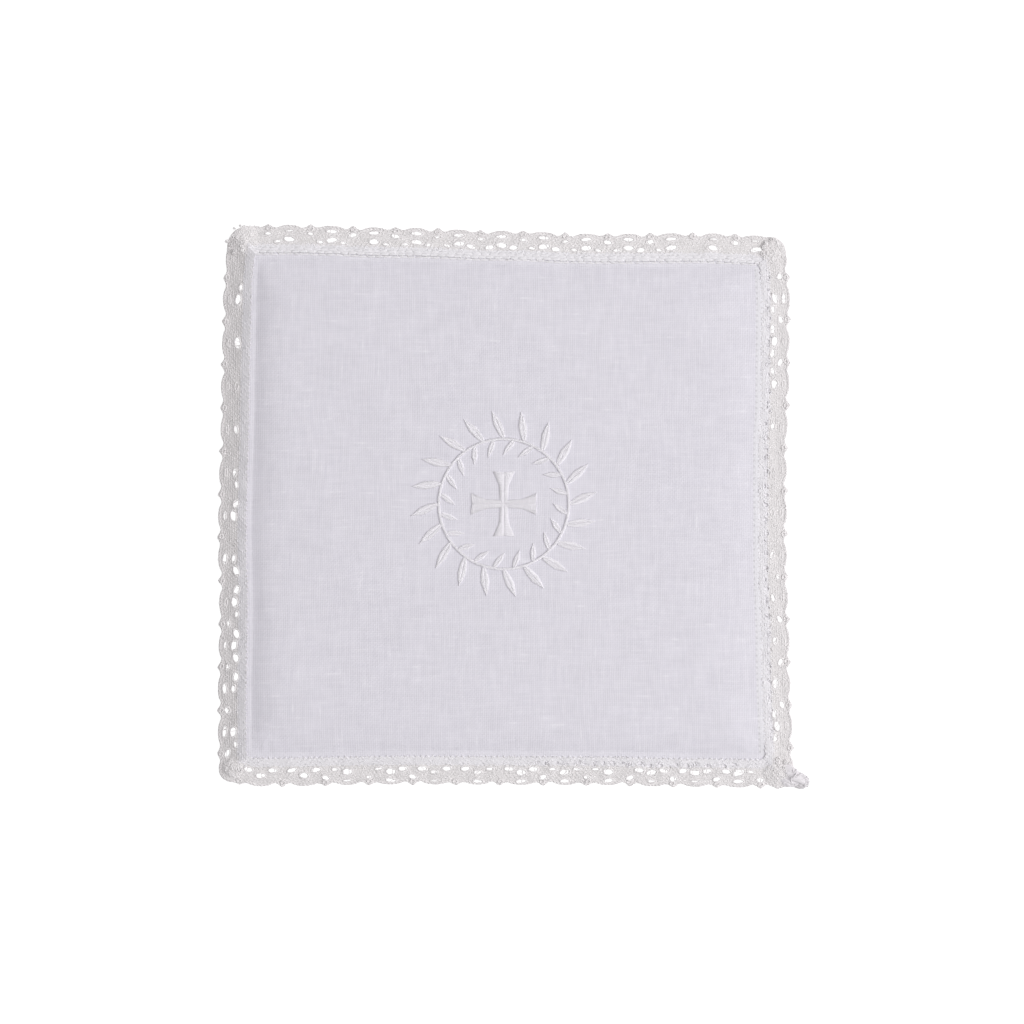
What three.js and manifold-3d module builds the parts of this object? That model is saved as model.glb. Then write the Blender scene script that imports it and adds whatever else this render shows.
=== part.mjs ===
// Chalice pall: a square of stiffened white linen lying flat, edged all round with narrow crochet lace.
// Millimetres, +Z up. The origin is the middle of the linen's underside, which lies on the surface z = 0.
import * as THREE from "three";
import { mergeVertices } from "three/addons/utils/BufferGeometryUtils.js";
import Module from "manifold-3d";

const wasm = await Module();
wasm.setup();

// Driving dimensions
const LACE_WIDTH = 8.9; // crest of the scallops to the seam
const LACE_THICK = 1.1; // openwork
const HEADING_FROM = 6.0; // crest of the scallops to the dense heading
const HEADING_TO = 8.7; // and to its own edge, just short of the seam
const HEADING_THICK = 1.4;
const SEAM_GAP = 0.3; // lace to linen
const SCALLOP_DEPTH = 1.15; // crest to valley
const CORNER_CLEAR = 0.6; // plain edge beside each rounded corner
const LINEN_CORNER = 2.6; // radius of the linen's corners
const LACE_INNER_CORNER = 2.4;
const RELIEF_SINK = 0.4; // how far the embroidery's solids start below the face
const EMBROIDERY_THICK = 0.45; // satin stitch above the face
const MOTIF_CENTRE = { x: -0.2, y: 1.2 };

// The four sides, counterclockwise. out is the distance from the origin to the crest line at a place
// along the side, and corner the outer radius at the side's end. first and pitch place the lace's repeats,
// and shift moves its gaps inward. Each chart has a letter a repeat: O wide open, o open, h half closed,
// a point for closed. before and after are the small gaps on the two sides of the main one.
const SIDES = [
  // Bottom side
  {
    run: [1, 0],
    crest: [
      { along: -84, out: 80.4 },
      { along: -72, out: 81.7 },
      { along: -31, out: 81.4 },
      { along: 28, out: 81.7 },
      { along: 52, out: 82.2 },
      { along: 84, out: 82.6 },
    ],
    corner: 1.6,
    first: -72.8,
    pitch: 12.87,
    shift: -0.45,
    main: "oooohhoooooO",
    lens: "..hohoooohho",
    picot: ".oho..ohoooo",
    before: "oohhooohhooo",
    after: "oo.oohoh.ooh",
  },
  // Right side
  {
    run: [0, 1],
    crest: [
      { along: -80, out: 85.2 },
      { along: -41, out: 83.9 },
      { along: -16, out: 83.0 },
      { along: 20, out: 82.9 },
      { along: 32, out: 83.9 },
      { along: 62, out: 84.2 },
      { along: 78, out: 83.3 },
    ],
    corner: 4.8,
    first: -64.5,
    pitch: 12.65,
    shift: 0,
    main: "oohhh..hooo",
    lens: "..........o",
    picot: "oooh....ooo",
    before: "o........oo",
    after: "o.......oo.",
  },
  // Top side
  {
    run: [-1, 0],
    crest: [
      { along: -80, out: 80.2 },
      { along: -58, out: 81.0 },
      { along: -27, out: 80.8 },
      { along: 1, out: 81.7 },
      { along: 30, out: 82.6 },
      { along: 65, out: 83.5 },
    ],
    corner: 6.4,
    first: -73.8,
    pitch: 12.55,
    shift: 0.1,
    main: "oooooooooooo",
    lens: "hhoooooooooh",
    picot: "o.oohhhhoohh",
    before: "...ohooohhh.",
    after: "..hhhhohh.hh",
  },
  // Left side
  {
    run: [0, -1],
    crest: [
      { along: -78, out: 82.0 },
      { along: -62, out: 83.0 },
      { along: -32, out: 83.6 },
      { along: 9, out: 84.5 },
      { along: 27, out: 84.1 },
      { along: 57, out: 84.5 },
    ],
    corner: 3.6,
    first: -61.6,
    pitch: 12.78,
    shift: -0.1,
    main: "oo.hhohooho",
    lens: ".....ho.hoo",
    picot: ".......hhoo",
    before: "h....o.OOO.",
    after: "....h.OhO.h",
  },
];

// The gaps of one repeat. at is in repeats from its middle, inward from the crest line, long along the edge.
const GAPS = [
  { chart: "main", at: 0, inward: 4.1, long: 3.3, deep: 1.8, sides: 10 },
  { chart: "lens", at: 0, inward: 1.55, long: 3.5, deep: 1.05, sides: 10 },
  { chart: "picot", at: 0.5, inward: 2.55, long: 1.6, deep: 1.05, sides: 8 },
  { chart: "before", at: -0.28, inward: 4.85, long: 1.9, deep: 1.0, sides: 8 },
  { chart: "after", at: 0.28, inward: 4.85, long: 1.9, deep: 1.0, sides: 8 },
];
const OPENNESS = { O: 1.2, o: 1, h: 0.62 };

// One repeat of the scalloped edge: a broad loop, then a narrow picot. depth is the share of SCALLOP_DEPTH.
const SCALLOP = [
  { at: -0.31, depth: 1 },
  { at: -0.24, depth: 0.5 },
  { at: -0.13, depth: 0.12 },
  { at: 0, depth: 0 },
  { at: 0.13, depth: 0.12 },
  { at: 0.24, depth: 0.5 },
  { at: 0.31, depth: 1 },
  { at: 0.41, depth: 0.55 },
  { at: 0.5, depth: 0.05 },
  { at: 0.59, depth: 0.55 },
];

// The linen's section, from the edge of its underside over the hem, down to the seam's trough and up the
// shoulder to the flat middle. inset is measured from the linen's edge.
const LINEN_SECTION = [
  { inset: 0.35, z: 0 },
  { inset: 0, z: 0.35 },
  { inset: 0.05, z: 0.95 },
  { inset: 0.7, z: 1.25 },
  { inset: 1.7, z: 0.95 },
  { inset: 3.0, z: 1.75 },
  { inset: 4.6, z: 2.35 },
  { inset: 7.0, z: 2.6 },
];
const LINEN_TOP = LINEN_SECTION.at(-1).z;

// Gathered lace at the four corners, counterclockwise from the lower right one: low mounds on the strip.
const GATHERS = [
  { radius: 3.9, height: 1.7 },
  { radius: 3.2, height: 1.7 },
  { radius: 4.2, height: 2.2 },
  { radius: 2.3, height: 1.5 },
];
const GATHER_ANGLES = [0, 0.45, 0.9, 1.25];
const GATHER_SIDES = 14;

// The lace's joined ends stick out of the lower right corner as a short bunched tail, wide then tapering.
const TAIL = { x: 80.4, y: -76.6, angle: -36, steps: 8 };
const TAIL_SECTIONS = [
  { along: 0, halfWidth: 2.0, height: 1.2 },
  { along: 2.5, halfWidth: 2.9, height: 2.0 },
  { along: 5.5, halfWidth: 2.8, height: 2.3 },
  { along: 8.4, halfWidth: 2.3, height: 2.1 },
  { along: 10.2, halfWidth: 1.6, height: 1.5 },
];

// Embroidery: a flared cross inside a wreath, whose leaves stand on both sides of a round stem.
const STEM = { radius: 19.2, width: 0.9, steps: 48 };
const LEAVES = [
  { count: 20, root: 19.5, length: 8.6, width: 2.5, lean: 24, turn: 0 },
  { count: 20, root: 18.9, length: 5.2, width: 1.7, lean: 152, turn: 0.5 },
];
const LEAF_OUTLINE = [
  { along: 0, half: 0.16 },
  { along: 0.22, half: 0.42 },
  { along: 0.5, half: 0.5 },
  { along: 0.8, half: 0.26 },
  { along: 1, half: 0 },
];
const CROSS_ARM = [
  { along: 1.2, half: 1.2 },
  { along: 5.4, half: 1.5 },
  { along: 9.4, half: 3.4 },
];

// Places
const wrap = (index, size) => (index + size) % size;

function crestAt(side, along) {
  const rows = side.crest;
  if (along <= rows[0].along) return rows[0].out;
  const next = rows.find((row) => row.along > along);
  if (!next) return rows.at(-1).out;
  const last = rows[rows.indexOf(next) - 1];
  const share = THREE.MathUtils.smoothstep(along, last.along, next.along);
  return THREE.MathUtils.lerp(last.out, next.out, share);
}

function place(side, along, inward) {
  const [x, y] = side.run;
  const out = crestAt(side, along) - inward;
  return new THREE.Vector2(x * along + y * out, y * along - x * out);
}

// The stretch of a side between its two rounded corners, and the arc that follows it.
function cornerReach(index, inward, radiusOf) {
  const side = SIDES[index];
  const next = SIDES[wrap(index + 1, 4)];
  const previous = SIDES[wrap(index - 1, 4)];
  return {
    from: inward - previous.crest.at(-1).out + radiusOf(previous),
    to: next.crest[0].out - inward - radiusOf(side),
  };
}

function cornerArc(index, inward, radius, steps) {
  const side = SIDES[index];
  const next = SIDES[wrap(index + 1, 4)];
  const [x, y] = side.run;
  const along = next.crest[0].out - inward - radius;
  const out = side.crest.at(-1).out - inward - radius;
  const arc = [];
  for (let step = 0; step <= steps; step++) {
    const angle = (Math.PI / 2) * (step / steps);
    const a = along + radius * Math.sin(angle);
    const o = out + radius * Math.cos(angle);
    arc.push(new THREE.Vector2(x * a + y * o, y * a - x * o));
  }
  return arc;
}

// A closed line at one distance inward from the crest line, its corners rounded.
function ringLine(inward, radiusOf, sideSteps = 8, cornerSteps = 5) {
  const points = [];
  SIDES.forEach((side, index) => {
    const { from, to } = cornerReach(index, inward, radiusOf);
    for (let step = 1; step < sideSteps; step++) {
      const along = THREE.MathUtils.lerp(from, to, step / sideSteps);
      points.push(place(side, along, inward));
    }
    points.push(...cornerArc(index, inward, radiusOf(side), cornerSteps));
  });
  return points;
}

// Solids
function manifoldOf(geometry) {
  geometry.deleteAttribute("normal");
  geometry.deleteAttribute("uv");
  const merged = mergeVertices(geometry, 1e-4);
  return new wasm.Manifold(
    new wasm.Mesh({
      numProp: 3,
      vertProperties: merged.attributes.position.array,
      triVerts: new Uint32Array(merged.index.array),
    }),
  );
}

function prism(shape, low, high) {
  const geometry = new THREE.ExtrudeGeometry(shape, { depth: high - low, bevelEnabled: false });
  return manifoldOf(geometry.translate(0, 0, low));
}

// A closed body through equal rings of points. section is a ring flattened, which gives the two end caps.
function bodyThrough(rings, section) {
  const size = section.length;
  const positions = rings.flatMap((ring) => ring.flatMap((p) => [p.x, p.y, p.z]));
  const faces = [];
  for (let level = 0; level + 1 < rings.length; level++) {
    for (let i = 0; i < size; i++) {
      const a = level * size + i;
      const b = level * size + ((i + 1) % size);
      faces.push(a, b, b + size, a, b + size, a + size);
    }
  }
  const last = (rings.length - 1) * size;
  for (const [a, b, c] of THREE.ShapeUtils.triangulateShape(section, [])) {
    faces.push(a, c, b, last + a, last + b, last + c);
  }
  const geometry = new THREE.BufferGeometry();
  geometry.setAttribute("position", new THREE.Float32BufferAttribute(positions, 3));
  return manifoldOf(geometry.setIndex(faces));
}

function joined(solids) {
  return solids.reduce((whole, solid) => whole.add(solid));
}

function meshOf(name, solid, material) {
  const data = solid.getMesh();
  const geometry = new THREE.BufferGeometry();
  const positions = new Float32Array(data.numVert * 3);
  for (let i = 0; i < data.numVert; i++) {
    positions.set(data.vertProperties.subarray(i * data.numProp, i * data.numProp + 3), i * 3);
  }
  geometry.setAttribute("position", new THREE.BufferAttribute(positions, 3));
  geometry.setIndex(new THREE.BufferAttribute(data.triVerts, 1));
  geometry.computeVertexNormals();
  const mesh = new THREE.Mesh(geometry, material);
  mesh.name = name;
  return mesh;
}

// Linen
function linenBody() {
  const rings = LINEN_SECTION.map(({ inset, z }) => {
    const inward = LACE_WIDTH + SEAM_GAP + inset;
    const radius = LINEN_CORNER + inset * 0.5;
    return ringLine(inward, () => radius).map((p) => new THREE.Vector3(p.x, p.y, z));
  });
  const section = rings[0].map((p) => new THREE.Vector2(p.x, p.y));
  return bodyThrough(rings, section);
}

function leaf({ length, width }) {
  const right = LEAF_OUTLINE.map((row) => [row.along * length, -row.half * width]);
  const left = LEAF_OUTLINE.slice(0, -1).map((row) => [row.along * length, row.half * width]);
  return [...right, ...left.reverse()];
}

function turned(points, angle, x, y) {
  const c = Math.cos(angle);
  const s = Math.sin(angle);
  return points.map(([px, py]) => new THREE.Vector2(x + px * c - py * s, y + px * s + py * c));
}

function wreathLeaves() {
  return LEAVES.flatMap((row) =>
    Array.from({ length: row.count }, (_, index) => {
      const angle = (2 * Math.PI * (index + row.turn)) / row.count;
      const x = MOTIF_CENTRE.x + row.root * Math.cos(angle);
      const y = MOTIF_CENTRE.y + row.root * Math.sin(angle);
      return new THREE.Shape(turned(leaf(row), angle + THREE.MathUtils.degToRad(row.lean), x, y));
    }),
  );
}

function crossShape() {
  const points = [];
  for (let arm = 0; arm < 4; arm++) {
    const right = CROSS_ARM.slice(1).map((row) => [row.along, -row.half]);
    const left = CROSS_ARM.slice(1).map((row) => [row.along, row.half]);
    const neck = [[CROSS_ARM[0].along, -CROSS_ARM[0].half]];
    const arc = [...neck, ...right, ...left.reverse()];
    points.push(...turned(arc, (arm * Math.PI) / 2, MOTIF_CENTRE.x, MOTIF_CENTRE.y));
  }
  return new THREE.Shape(points);
}

function stemShape() {
  const circle = (radius) =>
    Array.from({ length: STEM.steps }, (_, step) => {
      const angle = (2 * Math.PI * (step + 0.5)) / STEM.steps;
      const x = MOTIF_CENTRE.x + radius * Math.cos(angle);
      return new THREE.Vector2(x, MOTIF_CENTRE.y + radius * Math.sin(angle));
    });
  const shape = new THREE.Shape(circle(STEM.radius + STEM.width / 2));
  shape.holes.push(new THREE.Path(circle(STEM.radius - STEM.width / 2)));
  return shape;
}

function embroidery() {
  const low = LINEN_TOP - RELIEF_SINK;
  const high = LINEN_TOP + EMBROIDERY_THICK;
  const shapes = [stemShape(), crossShape(), ...wreathLeaves()];
  return joined(shapes.map((shape) => prism(shape, low, high)));
}

// Lace
function scallopLine() {
  const points = [];
  SIDES.forEach((side, index) => {
    const { from, to } = cornerReach(index, 0, (s) => s.corner);
    for (let repeat = -1; repeat <= side.main.length; repeat++) {
      for (const { at, depth } of SCALLOP) {
        const along = side.first + (repeat + at) * side.pitch;
        if (along <= from + CORNER_CLEAR || along >= to - CORNER_CLEAR) continue;
        points.push(place(side, along, depth * SCALLOP_DEPTH));
      }
    }
    points.push(...cornerArc(index, 0, side.corner, 6));
  });
  return points;
}

function gapLine(side, along, gap, openness) {
  const points = [];
  const middle = gap.inward + side.shift;
  for (let step = 0; step < gap.sides; step++) {
    const angle = (2 * Math.PI * (step + 0.5)) / gap.sides;
    const a = along + (gap.long / 2) * Math.sqrt(openness) * Math.cos(angle);
    points.push(place(side, a, middle + (gap.deep / 2) * openness * Math.sin(angle)));
  }
  return new THREE.Path(points);
}

function laceGaps() {
  const paths = [];
  for (const side of SIDES) {
    for (const gap of GAPS) {
      [...side[gap.chart]].forEach((letter, repeat) => {
        const along = side.first + (repeat + gap.at) * side.pitch;
        if (letter in OPENNESS) paths.push(gapLine(side, along, gap, OPENNESS[letter]));
      });
    }
  }
  return paths;
}

function flatLace() {
  const shape = new THREE.Shape(scallopLine());
  shape.holes.push(new THREE.Path(ringLine(LACE_WIDTH, () => LACE_INNER_CORNER)));
  shape.holes.push(...laceGaps());
  return prism(shape, 0, LACE_THICK);
}

function heading() {
  const shape = new THREE.Shape(ringLine(HEADING_FROM, () => LACE_INNER_CORNER + 1.4));
  shape.holes.push(new THREE.Path(ringLine(HEADING_TO, () => LACE_INNER_CORNER)));
  return prism(shape, LACE_THICK / 2, HEADING_THICK);
}

function gather({ radius, height }, index) {
  const foot = LACE_THICK / 2;
  const profile = [new THREE.Vector2(0, foot)];
  for (const angle of GATHER_ANGLES) {
    const rise = (height - foot) * Math.sin(angle);
    profile.push(new THREE.Vector2(radius * Math.cos(angle), foot + rise));
  }
  profile.push(new THREE.Vector2(0, height));
  const dome = new THREE.LatheGeometry(profile, GATHER_SIDES).rotateX(Math.PI / 2);
  const [middle] = cornerArc(index, LACE_WIDTH / 2, 0, 1);
  return manifoldOf(dome.translate(middle.x, middle.y, 0));
}

function tail() {
  const angle = THREE.MathUtils.degToRad(TAIL.angle);
  const [c, s] = [Math.cos(angle), Math.sin(angle)];
  const arch = Array.from({ length: TAIL.steps + 1 }, (_, step) => (Math.PI * step) / TAIL.steps);
  const rings = TAIL_SECTIONS.map(({ along, halfWidth, height }) =>
    arch.map((turn) => {
      const across = halfWidth * Math.cos(turn);
      const x = TAIL.x + along * c - across * s;
      return new THREE.Vector3(x, TAIL.y + along * s + across * c, height * Math.sin(turn));
    }),
  );
  const section = arch.map((turn) => new THREE.Vector2(Math.cos(turn), Math.sin(turn)));
  return bodyThrough(rings, section);
}

// Materials and the model
const linenCloth = new THREE.MeshStandardMaterial({ color: 0xdedbe2, roughness: 0.92, metalness: 0 });
const laceCotton = new THREE.MeshStandardMaterial({ color: 0xdfdcda, roughness: 0.95, metalness: 0 });

const pall = new THREE.Group();
pall.add(meshOf("linen_panel", joined([linenBody(), embroidery()]), linenCloth));
pall.add(meshOf("lace_edging", joined([flatLace(), heading(), ...GATHERS.map(gather), tail()]), laceCotton));

export default pall;
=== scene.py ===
"""Chalice pall: a square of stiffened white linen lying flat, edged all round with narrow crochet lace.

Sizes are millimetres throughout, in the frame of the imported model, and a finished mesh is brought to
metres when it is placed. The origin is the middle of the linen's underside.
"""

import logging
import math
from collections.abc import Sequence
from dataclasses import dataclass, field
from enum import Enum
from functools import cached_property
from typing import Any, NamedTuple

import bmesh
import bpy
import numpy as np
from mathutils import Matrix, Vector


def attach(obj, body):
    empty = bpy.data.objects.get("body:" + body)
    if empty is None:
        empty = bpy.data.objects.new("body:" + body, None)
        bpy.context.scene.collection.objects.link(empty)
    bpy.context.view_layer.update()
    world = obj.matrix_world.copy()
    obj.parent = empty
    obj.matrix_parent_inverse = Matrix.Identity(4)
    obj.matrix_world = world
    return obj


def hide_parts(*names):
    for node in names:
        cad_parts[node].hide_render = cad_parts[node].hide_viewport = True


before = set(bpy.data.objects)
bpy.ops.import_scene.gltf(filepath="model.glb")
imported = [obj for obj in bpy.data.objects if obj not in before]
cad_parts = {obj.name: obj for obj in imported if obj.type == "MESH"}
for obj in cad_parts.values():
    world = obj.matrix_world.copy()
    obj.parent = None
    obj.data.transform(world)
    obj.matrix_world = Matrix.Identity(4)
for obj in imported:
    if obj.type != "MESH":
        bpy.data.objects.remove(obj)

MM = 0.001
BODY = "root"
UP = np.array([0.0, 0.0, 1.0])

Colour = tuple[float, float, float, float]
log = logging.getLogger("pall")


class Openness(Enum):
    """How wide one gap of the lace stands, by its letter in a side's charts."""

    WIDE = "O"
    OPEN = "o"
    PULLED = "u"
    HALF = "h"
    CLOSED = "."
    NONE = "-"

    @property
    def share(self) -> float:
        """The gap's size as a share of its kind's."""
        return {"O": 1.2, "o": 1.0, "u": 0.9, "h": 0.62, ".": 0.5, "-": 0.0}[self.value]


class Heading(Enum):
    """How the lace's inner band is worked: in looped rows alone, or with rows of long sewing on them."""

    POSTS = "posts"
    DASHES = "dashes"


def smooth(low: np.ndarray | float, high: np.ndarray | float, value: np.ndarray) -> np.ndarray:
    """An eased share from 0 at low to 1 at high.

    Args:
        low: Where the share is 0.
        high: Where the share is 1.
        value: The values to place between them.

    Returns:
        The share of each value.
    """
    share = np.clip((value - low) / (high - low), 0, 1)
    return share * share * (3 - 2 * share)


def ripple(x: np.ndarray, y: np.ndarray, wave: float, seed: float) -> np.ndarray:
    """A soft uneven surface made of a few crossing waves.

    Args:
        x: Places across.
        y: Places up.
        wave: The waves' usual length.
        seed: Sets another such surface.

    Returns:
        Heights of about −1 to 1.
    """
    total = x * 0
    for step in range(4):
        angle = seed * 2.3 + step * 1.37
        turn = 2 * math.pi / (wave * (1 - 0.13 * step))
        total = total + np.sin((x * math.cos(angle) + y * math.sin(angle)) * turn + seed + step * 2.1)
    return total / 2.6


class CrestRow(NamedTuple):
    """The crest line's distance from the origin at a place along its side."""

    along: float
    out: float


@dataclass(frozen=True)
class GapKind:
    """One gap of a repeat. at is in repeats from its middle, and inward is from the crest line."""

    chart: str
    at: float
    inward: float
    long: float
    deep: float
    pit: bool


GAP_KINDS = (
    GapKind("main", at=0.0, inward=4.15, long=3.1, deep=1.8, pit=True),
    GapKind("lens", at=0.0, inward=1.55, long=3.2, deep=1.25, pit=True),
    GapKind("picot", at=0.5, inward=2.45, long=2.2, deep=1.45, pit=False),
    GapKind("before", at=-0.28, inward=4.85, long=2.6, deep=1.5, pit=False),
    GapKind("after", at=0.28, inward=4.85, long=2.6, deep=1.5, pit=False),
)


@dataclass(frozen=True)
class Gap:
    """A gap where it lies on a strip: its middle, its half sizes, how wide it stands and its skew."""

    along: float
    inward: float
    half_long: float
    half_deep: float
    openness: Openness
    skew: float = 0.0

    def spread(self, along: np.ndarray, inward: np.ndarray, margin: float = 0.0) -> np.ndarray:
        """How far points lie from the middle.

        Args:
            along: Places along the side.
            inward: Distances from the crest line.
            margin: How far the rim is grown.

        Returns:
            The distance of each point, 1 on the grown rim.
        """
        deep = inward - self.inward
        across = along - self.along - self.skew * deep
        return np.hypot(across / (self.half_long + margin), deep / (self.half_deep + margin))


@dataclass(frozen=True)
class Side:
    """One side of the pall, run counterclockwise, with the charts of its lace.

    run is the side's direction, and corner the crest's radius at its end. first and pitch place the
    repeats, and the charts have a letter a repeat. shifts move the wide gaps inward at the three
    shift_places, small_shift moves the small ones inward, and pull draws the pulled ones outward. skew
    leans the gaps, each its own way, and extra adds single ones. rise is the height of the lace at the
    seam, and reach is how far the scallops stand out past the crest line. tone is painted light and
    shade: it makes the side's yarn and web lighter or darker for how the light falls on that side, the
    left side darkest, and the cord's own tone paints the edge's cord the same way. pits is how far a row
    of small pits lies from the crest line, worked along pit_span.
    """

    name: str
    run: tuple[int, int]
    crest: tuple[CrestRow, ...]
    corner: float
    first: float
    pitch: float
    shifts: tuple[float, float, float]
    main: str
    lens: str
    picot: str
    before: str
    after: str
    rise: float
    reach: float
    small_shift: float = 0.0
    # Painted light and shade on the side's yarn and web.
    tone: float = 0.0
    heading: Heading = Heading.POSTS
    extra: tuple[Gap, ...] = ()
    pull: float = 0.9
    skew: float = 0.5
    # Painted light and shade on the edge's cord along this side.
    cord_painted_light: float = 0.6
    pits: float = 0.0
    pit_span: tuple[float, float] = (0.0, 0.0)
    pit_pitch: float = 1.75
    pit_size: float = 0.42
    shift_places: tuple[float, float, float] = (-72, 0, 72)

    def crest_at(self, along: np.ndarray) -> np.ndarray:
        """The crest line's distance from the origin.

        Args:
            along: Places along the side.

        Returns:
            The distance at each place, easing from row to row.
        """
        rows = np.array(self.crest)
        step = np.clip(np.searchsorted(rows[:, 0], along) - 1, 0, len(rows) - 2)
        low, high = rows[step], rows[step + 1]
        return low[..., 1] + (high[..., 1] - low[..., 1]) * smooth(low[..., 0], high[..., 0], along)

    def place(self, along: np.ndarray, inward: np.ndarray, height: np.ndarray | float) -> np.ndarray:
        """Points of the strip in the model's frame.

        Args:
            along: Places along the side.
            inward: Distances from the crest line.
            height: Heights above the surface.

        Returns:
            One row of x, y and z a point.
        """
        x, y = self.run
        out = self.crest_at(along) - inward
        return np.stack([x * along + y * out, y * along - x * out, out * 0 + height], axis=-1)

    def directions(self, angle: np.ndarray, tilt: np.ndarray | float = 0.0) -> np.ndarray:
        """Unit directions on the strip.

        Args:
            angle: Turns from the side's run towards the linen, in radians.
            tilt: Rise above the surface, in radians.

        Returns:
            One direction a row.
        """
        x, y = self.run
        along, inward = np.cos(angle), np.sin(angle)
        level = np.cos(tilt)
        flat_x = (x * along - y * inward) * level
        flat_y = (y * along + x * inward) * level
        return np.stack([flat_x, flat_y, flat_x * 0 + np.sin(tilt)], axis=-1)

    def gaps(self) -> list[Gap]:
        """Every gap that the charts name, closed ones too where they show as pits."""
        found = []
        for kind in GAP_KINDS:
            for repeat, letter in enumerate(getattr(self, kind.chart)):
                openness = Openness(letter)
                if openness is Openness.NONE or (openness is Openness.CLOSED and not kind.pit):
                    continue
                share = openness.share
                place = self.first + (repeat + kind.at) * self.pitch
                pull = self.pull if openness is Openness.PULLED else 0.0
                shift = self.small_shift
                if kind.pit:
                    shift = float(np.interp(place, self.shift_places, self.shifts))
                found.append(
                    Gap(
                        along=place,
                        inward=kind.inward + shift - pull,
                        half_long=kind.long / 2 * math.sqrt(share),
                        half_deep=kind.deep / 2 * share,
                        openness=openness,
                        skew=self.skew * math.sin(1.7 * place + kind.deep * 9),
                    )
                )
        return found + list(self.extra)

    def small_pits(self) -> list[Gap]:
        """The row of small closed pits along the heading, where the side has one."""
        low, high = self.pit_span
        count = round((high - low) / self.pit_pitch)
        found = []
        for number in range(count):
            place = low + (number + 0.35 * math.sin(2.3 * number)) * self.pit_pitch
            inward = self.pits + 0.35 * math.sin(1.9 * number + 1)
            size = self.pit_size * (1 + math.sin(3.1 * number) / 3)
            found.append(Gap(place, inward, size * 1.15, size, Openness.CLOSED))
        return found


# Each side's tones are painted light and shade, the left side darkest.
SIDES = (
    Side(
        name="bottom",
        run=(1, 0),
        crest=(
            CrestRow(-84, 80.9),
            CrestRow(-72, 82.1),
            CrestRow(-31, 81.5),
            CrestRow(28, 81.7),
            CrestRow(52, 82.2),
            CrestRow(84, 82.6),
        ),
        corner=1.6,
        first=-72.1,
        pitch=12.85,
        shifts=(-0.3, -0.8, 0.0),
        main="uuoohhoooooO",
        lens="--hohoooohho",
        picot=".oho..ohoooo",
        before="oohhooohhooo",
        after="oo.oohoh.ooh",
        rise=1.2,
        reach=0.3,
        small_shift=-0.4,
        tone=-0.05,
        pits=6.2,
        pit_span=(10.0, 70.0),
    ),
    Side(
        name="right",
        run=(0, 1),
        crest=(
            CrestRow(-80, 85.3),
            CrestRow(-41, 84.1),
            CrestRow(-16, 83.3),
            CrestRow(20, 83.3),
            CrestRow(32, 84.0),
            CrestRow(62, 84.2),
            CrestRow(78, 83.3),
        ),
        corner=4.8,
        first=-64.5,
        pitch=12.65,
        shifts=(0.0, 0.0, 0.0),
        main="oohhh..hooo",
        lens="..........o",
        picot="oooh....ooo",
        before="o........oo",
        after="o.......oo.",
        rise=1.55,
        reach=0.35,
        tone=-0.25,
        cord_painted_light=0.9,
        pits=6.0,
        pit_span=(-68.0, 70.0),
    ),
    Side(
        name="top",
        run=(-1, 0),
        crest=(
            CrestRow(-80, 80.2),
            CrestRow(-58, 81.0),
            CrestRow(-27, 80.8),
            CrestRow(1, 81.7),
            CrestRow(30, 82.6),
            CrestRow(65, 83.5),
        ),
        corner=6.4,
        first=-74.5,
        pitch=12.55,
        shifts=(-0.15, -0.15, -0.15),
        main="oooooooooooo",
        lens="hhoooooooooh",
        picot="o.oohhhhoohh",
        before="...ohooohhh.",
        after="..hhhhohh.hh",
        rise=1.2,
        reach=0.35,
        small_shift=-0.2,
        tone=0.05,
        heading=Heading.DASHES,
    ),
    Side(
        name="left",
        run=(0, -1),
        crest=(
            CrestRow(-78, 82.0),
            CrestRow(-62, 83.0),
            CrestRow(-32, 83.6),
            CrestRow(9, 84.5),
            CrestRow(27, 84.1),
            CrestRow(57, 84.5),
        ),
        corner=3.6,
        first=-61.6,
        pitch=12.78,
        shifts=(0.15, 0.15, 0.15),
        main="oo.hhohooho",
        lens=".....ho.hoo",
        picot=".......hhoo",
        before="h....o.OOO.",
        after="....h.OhO.h",
        rise=1.3,
        reach=0.3,
        small_shift=0.1,
        tone=-0.7,
        cord_painted_light=-0.1,
        extra=(Gap(along=-76.4, inward=4.8, half_long=0.8, half_deep=0.5, openness=Openness.OPEN),),
    ),
)


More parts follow.
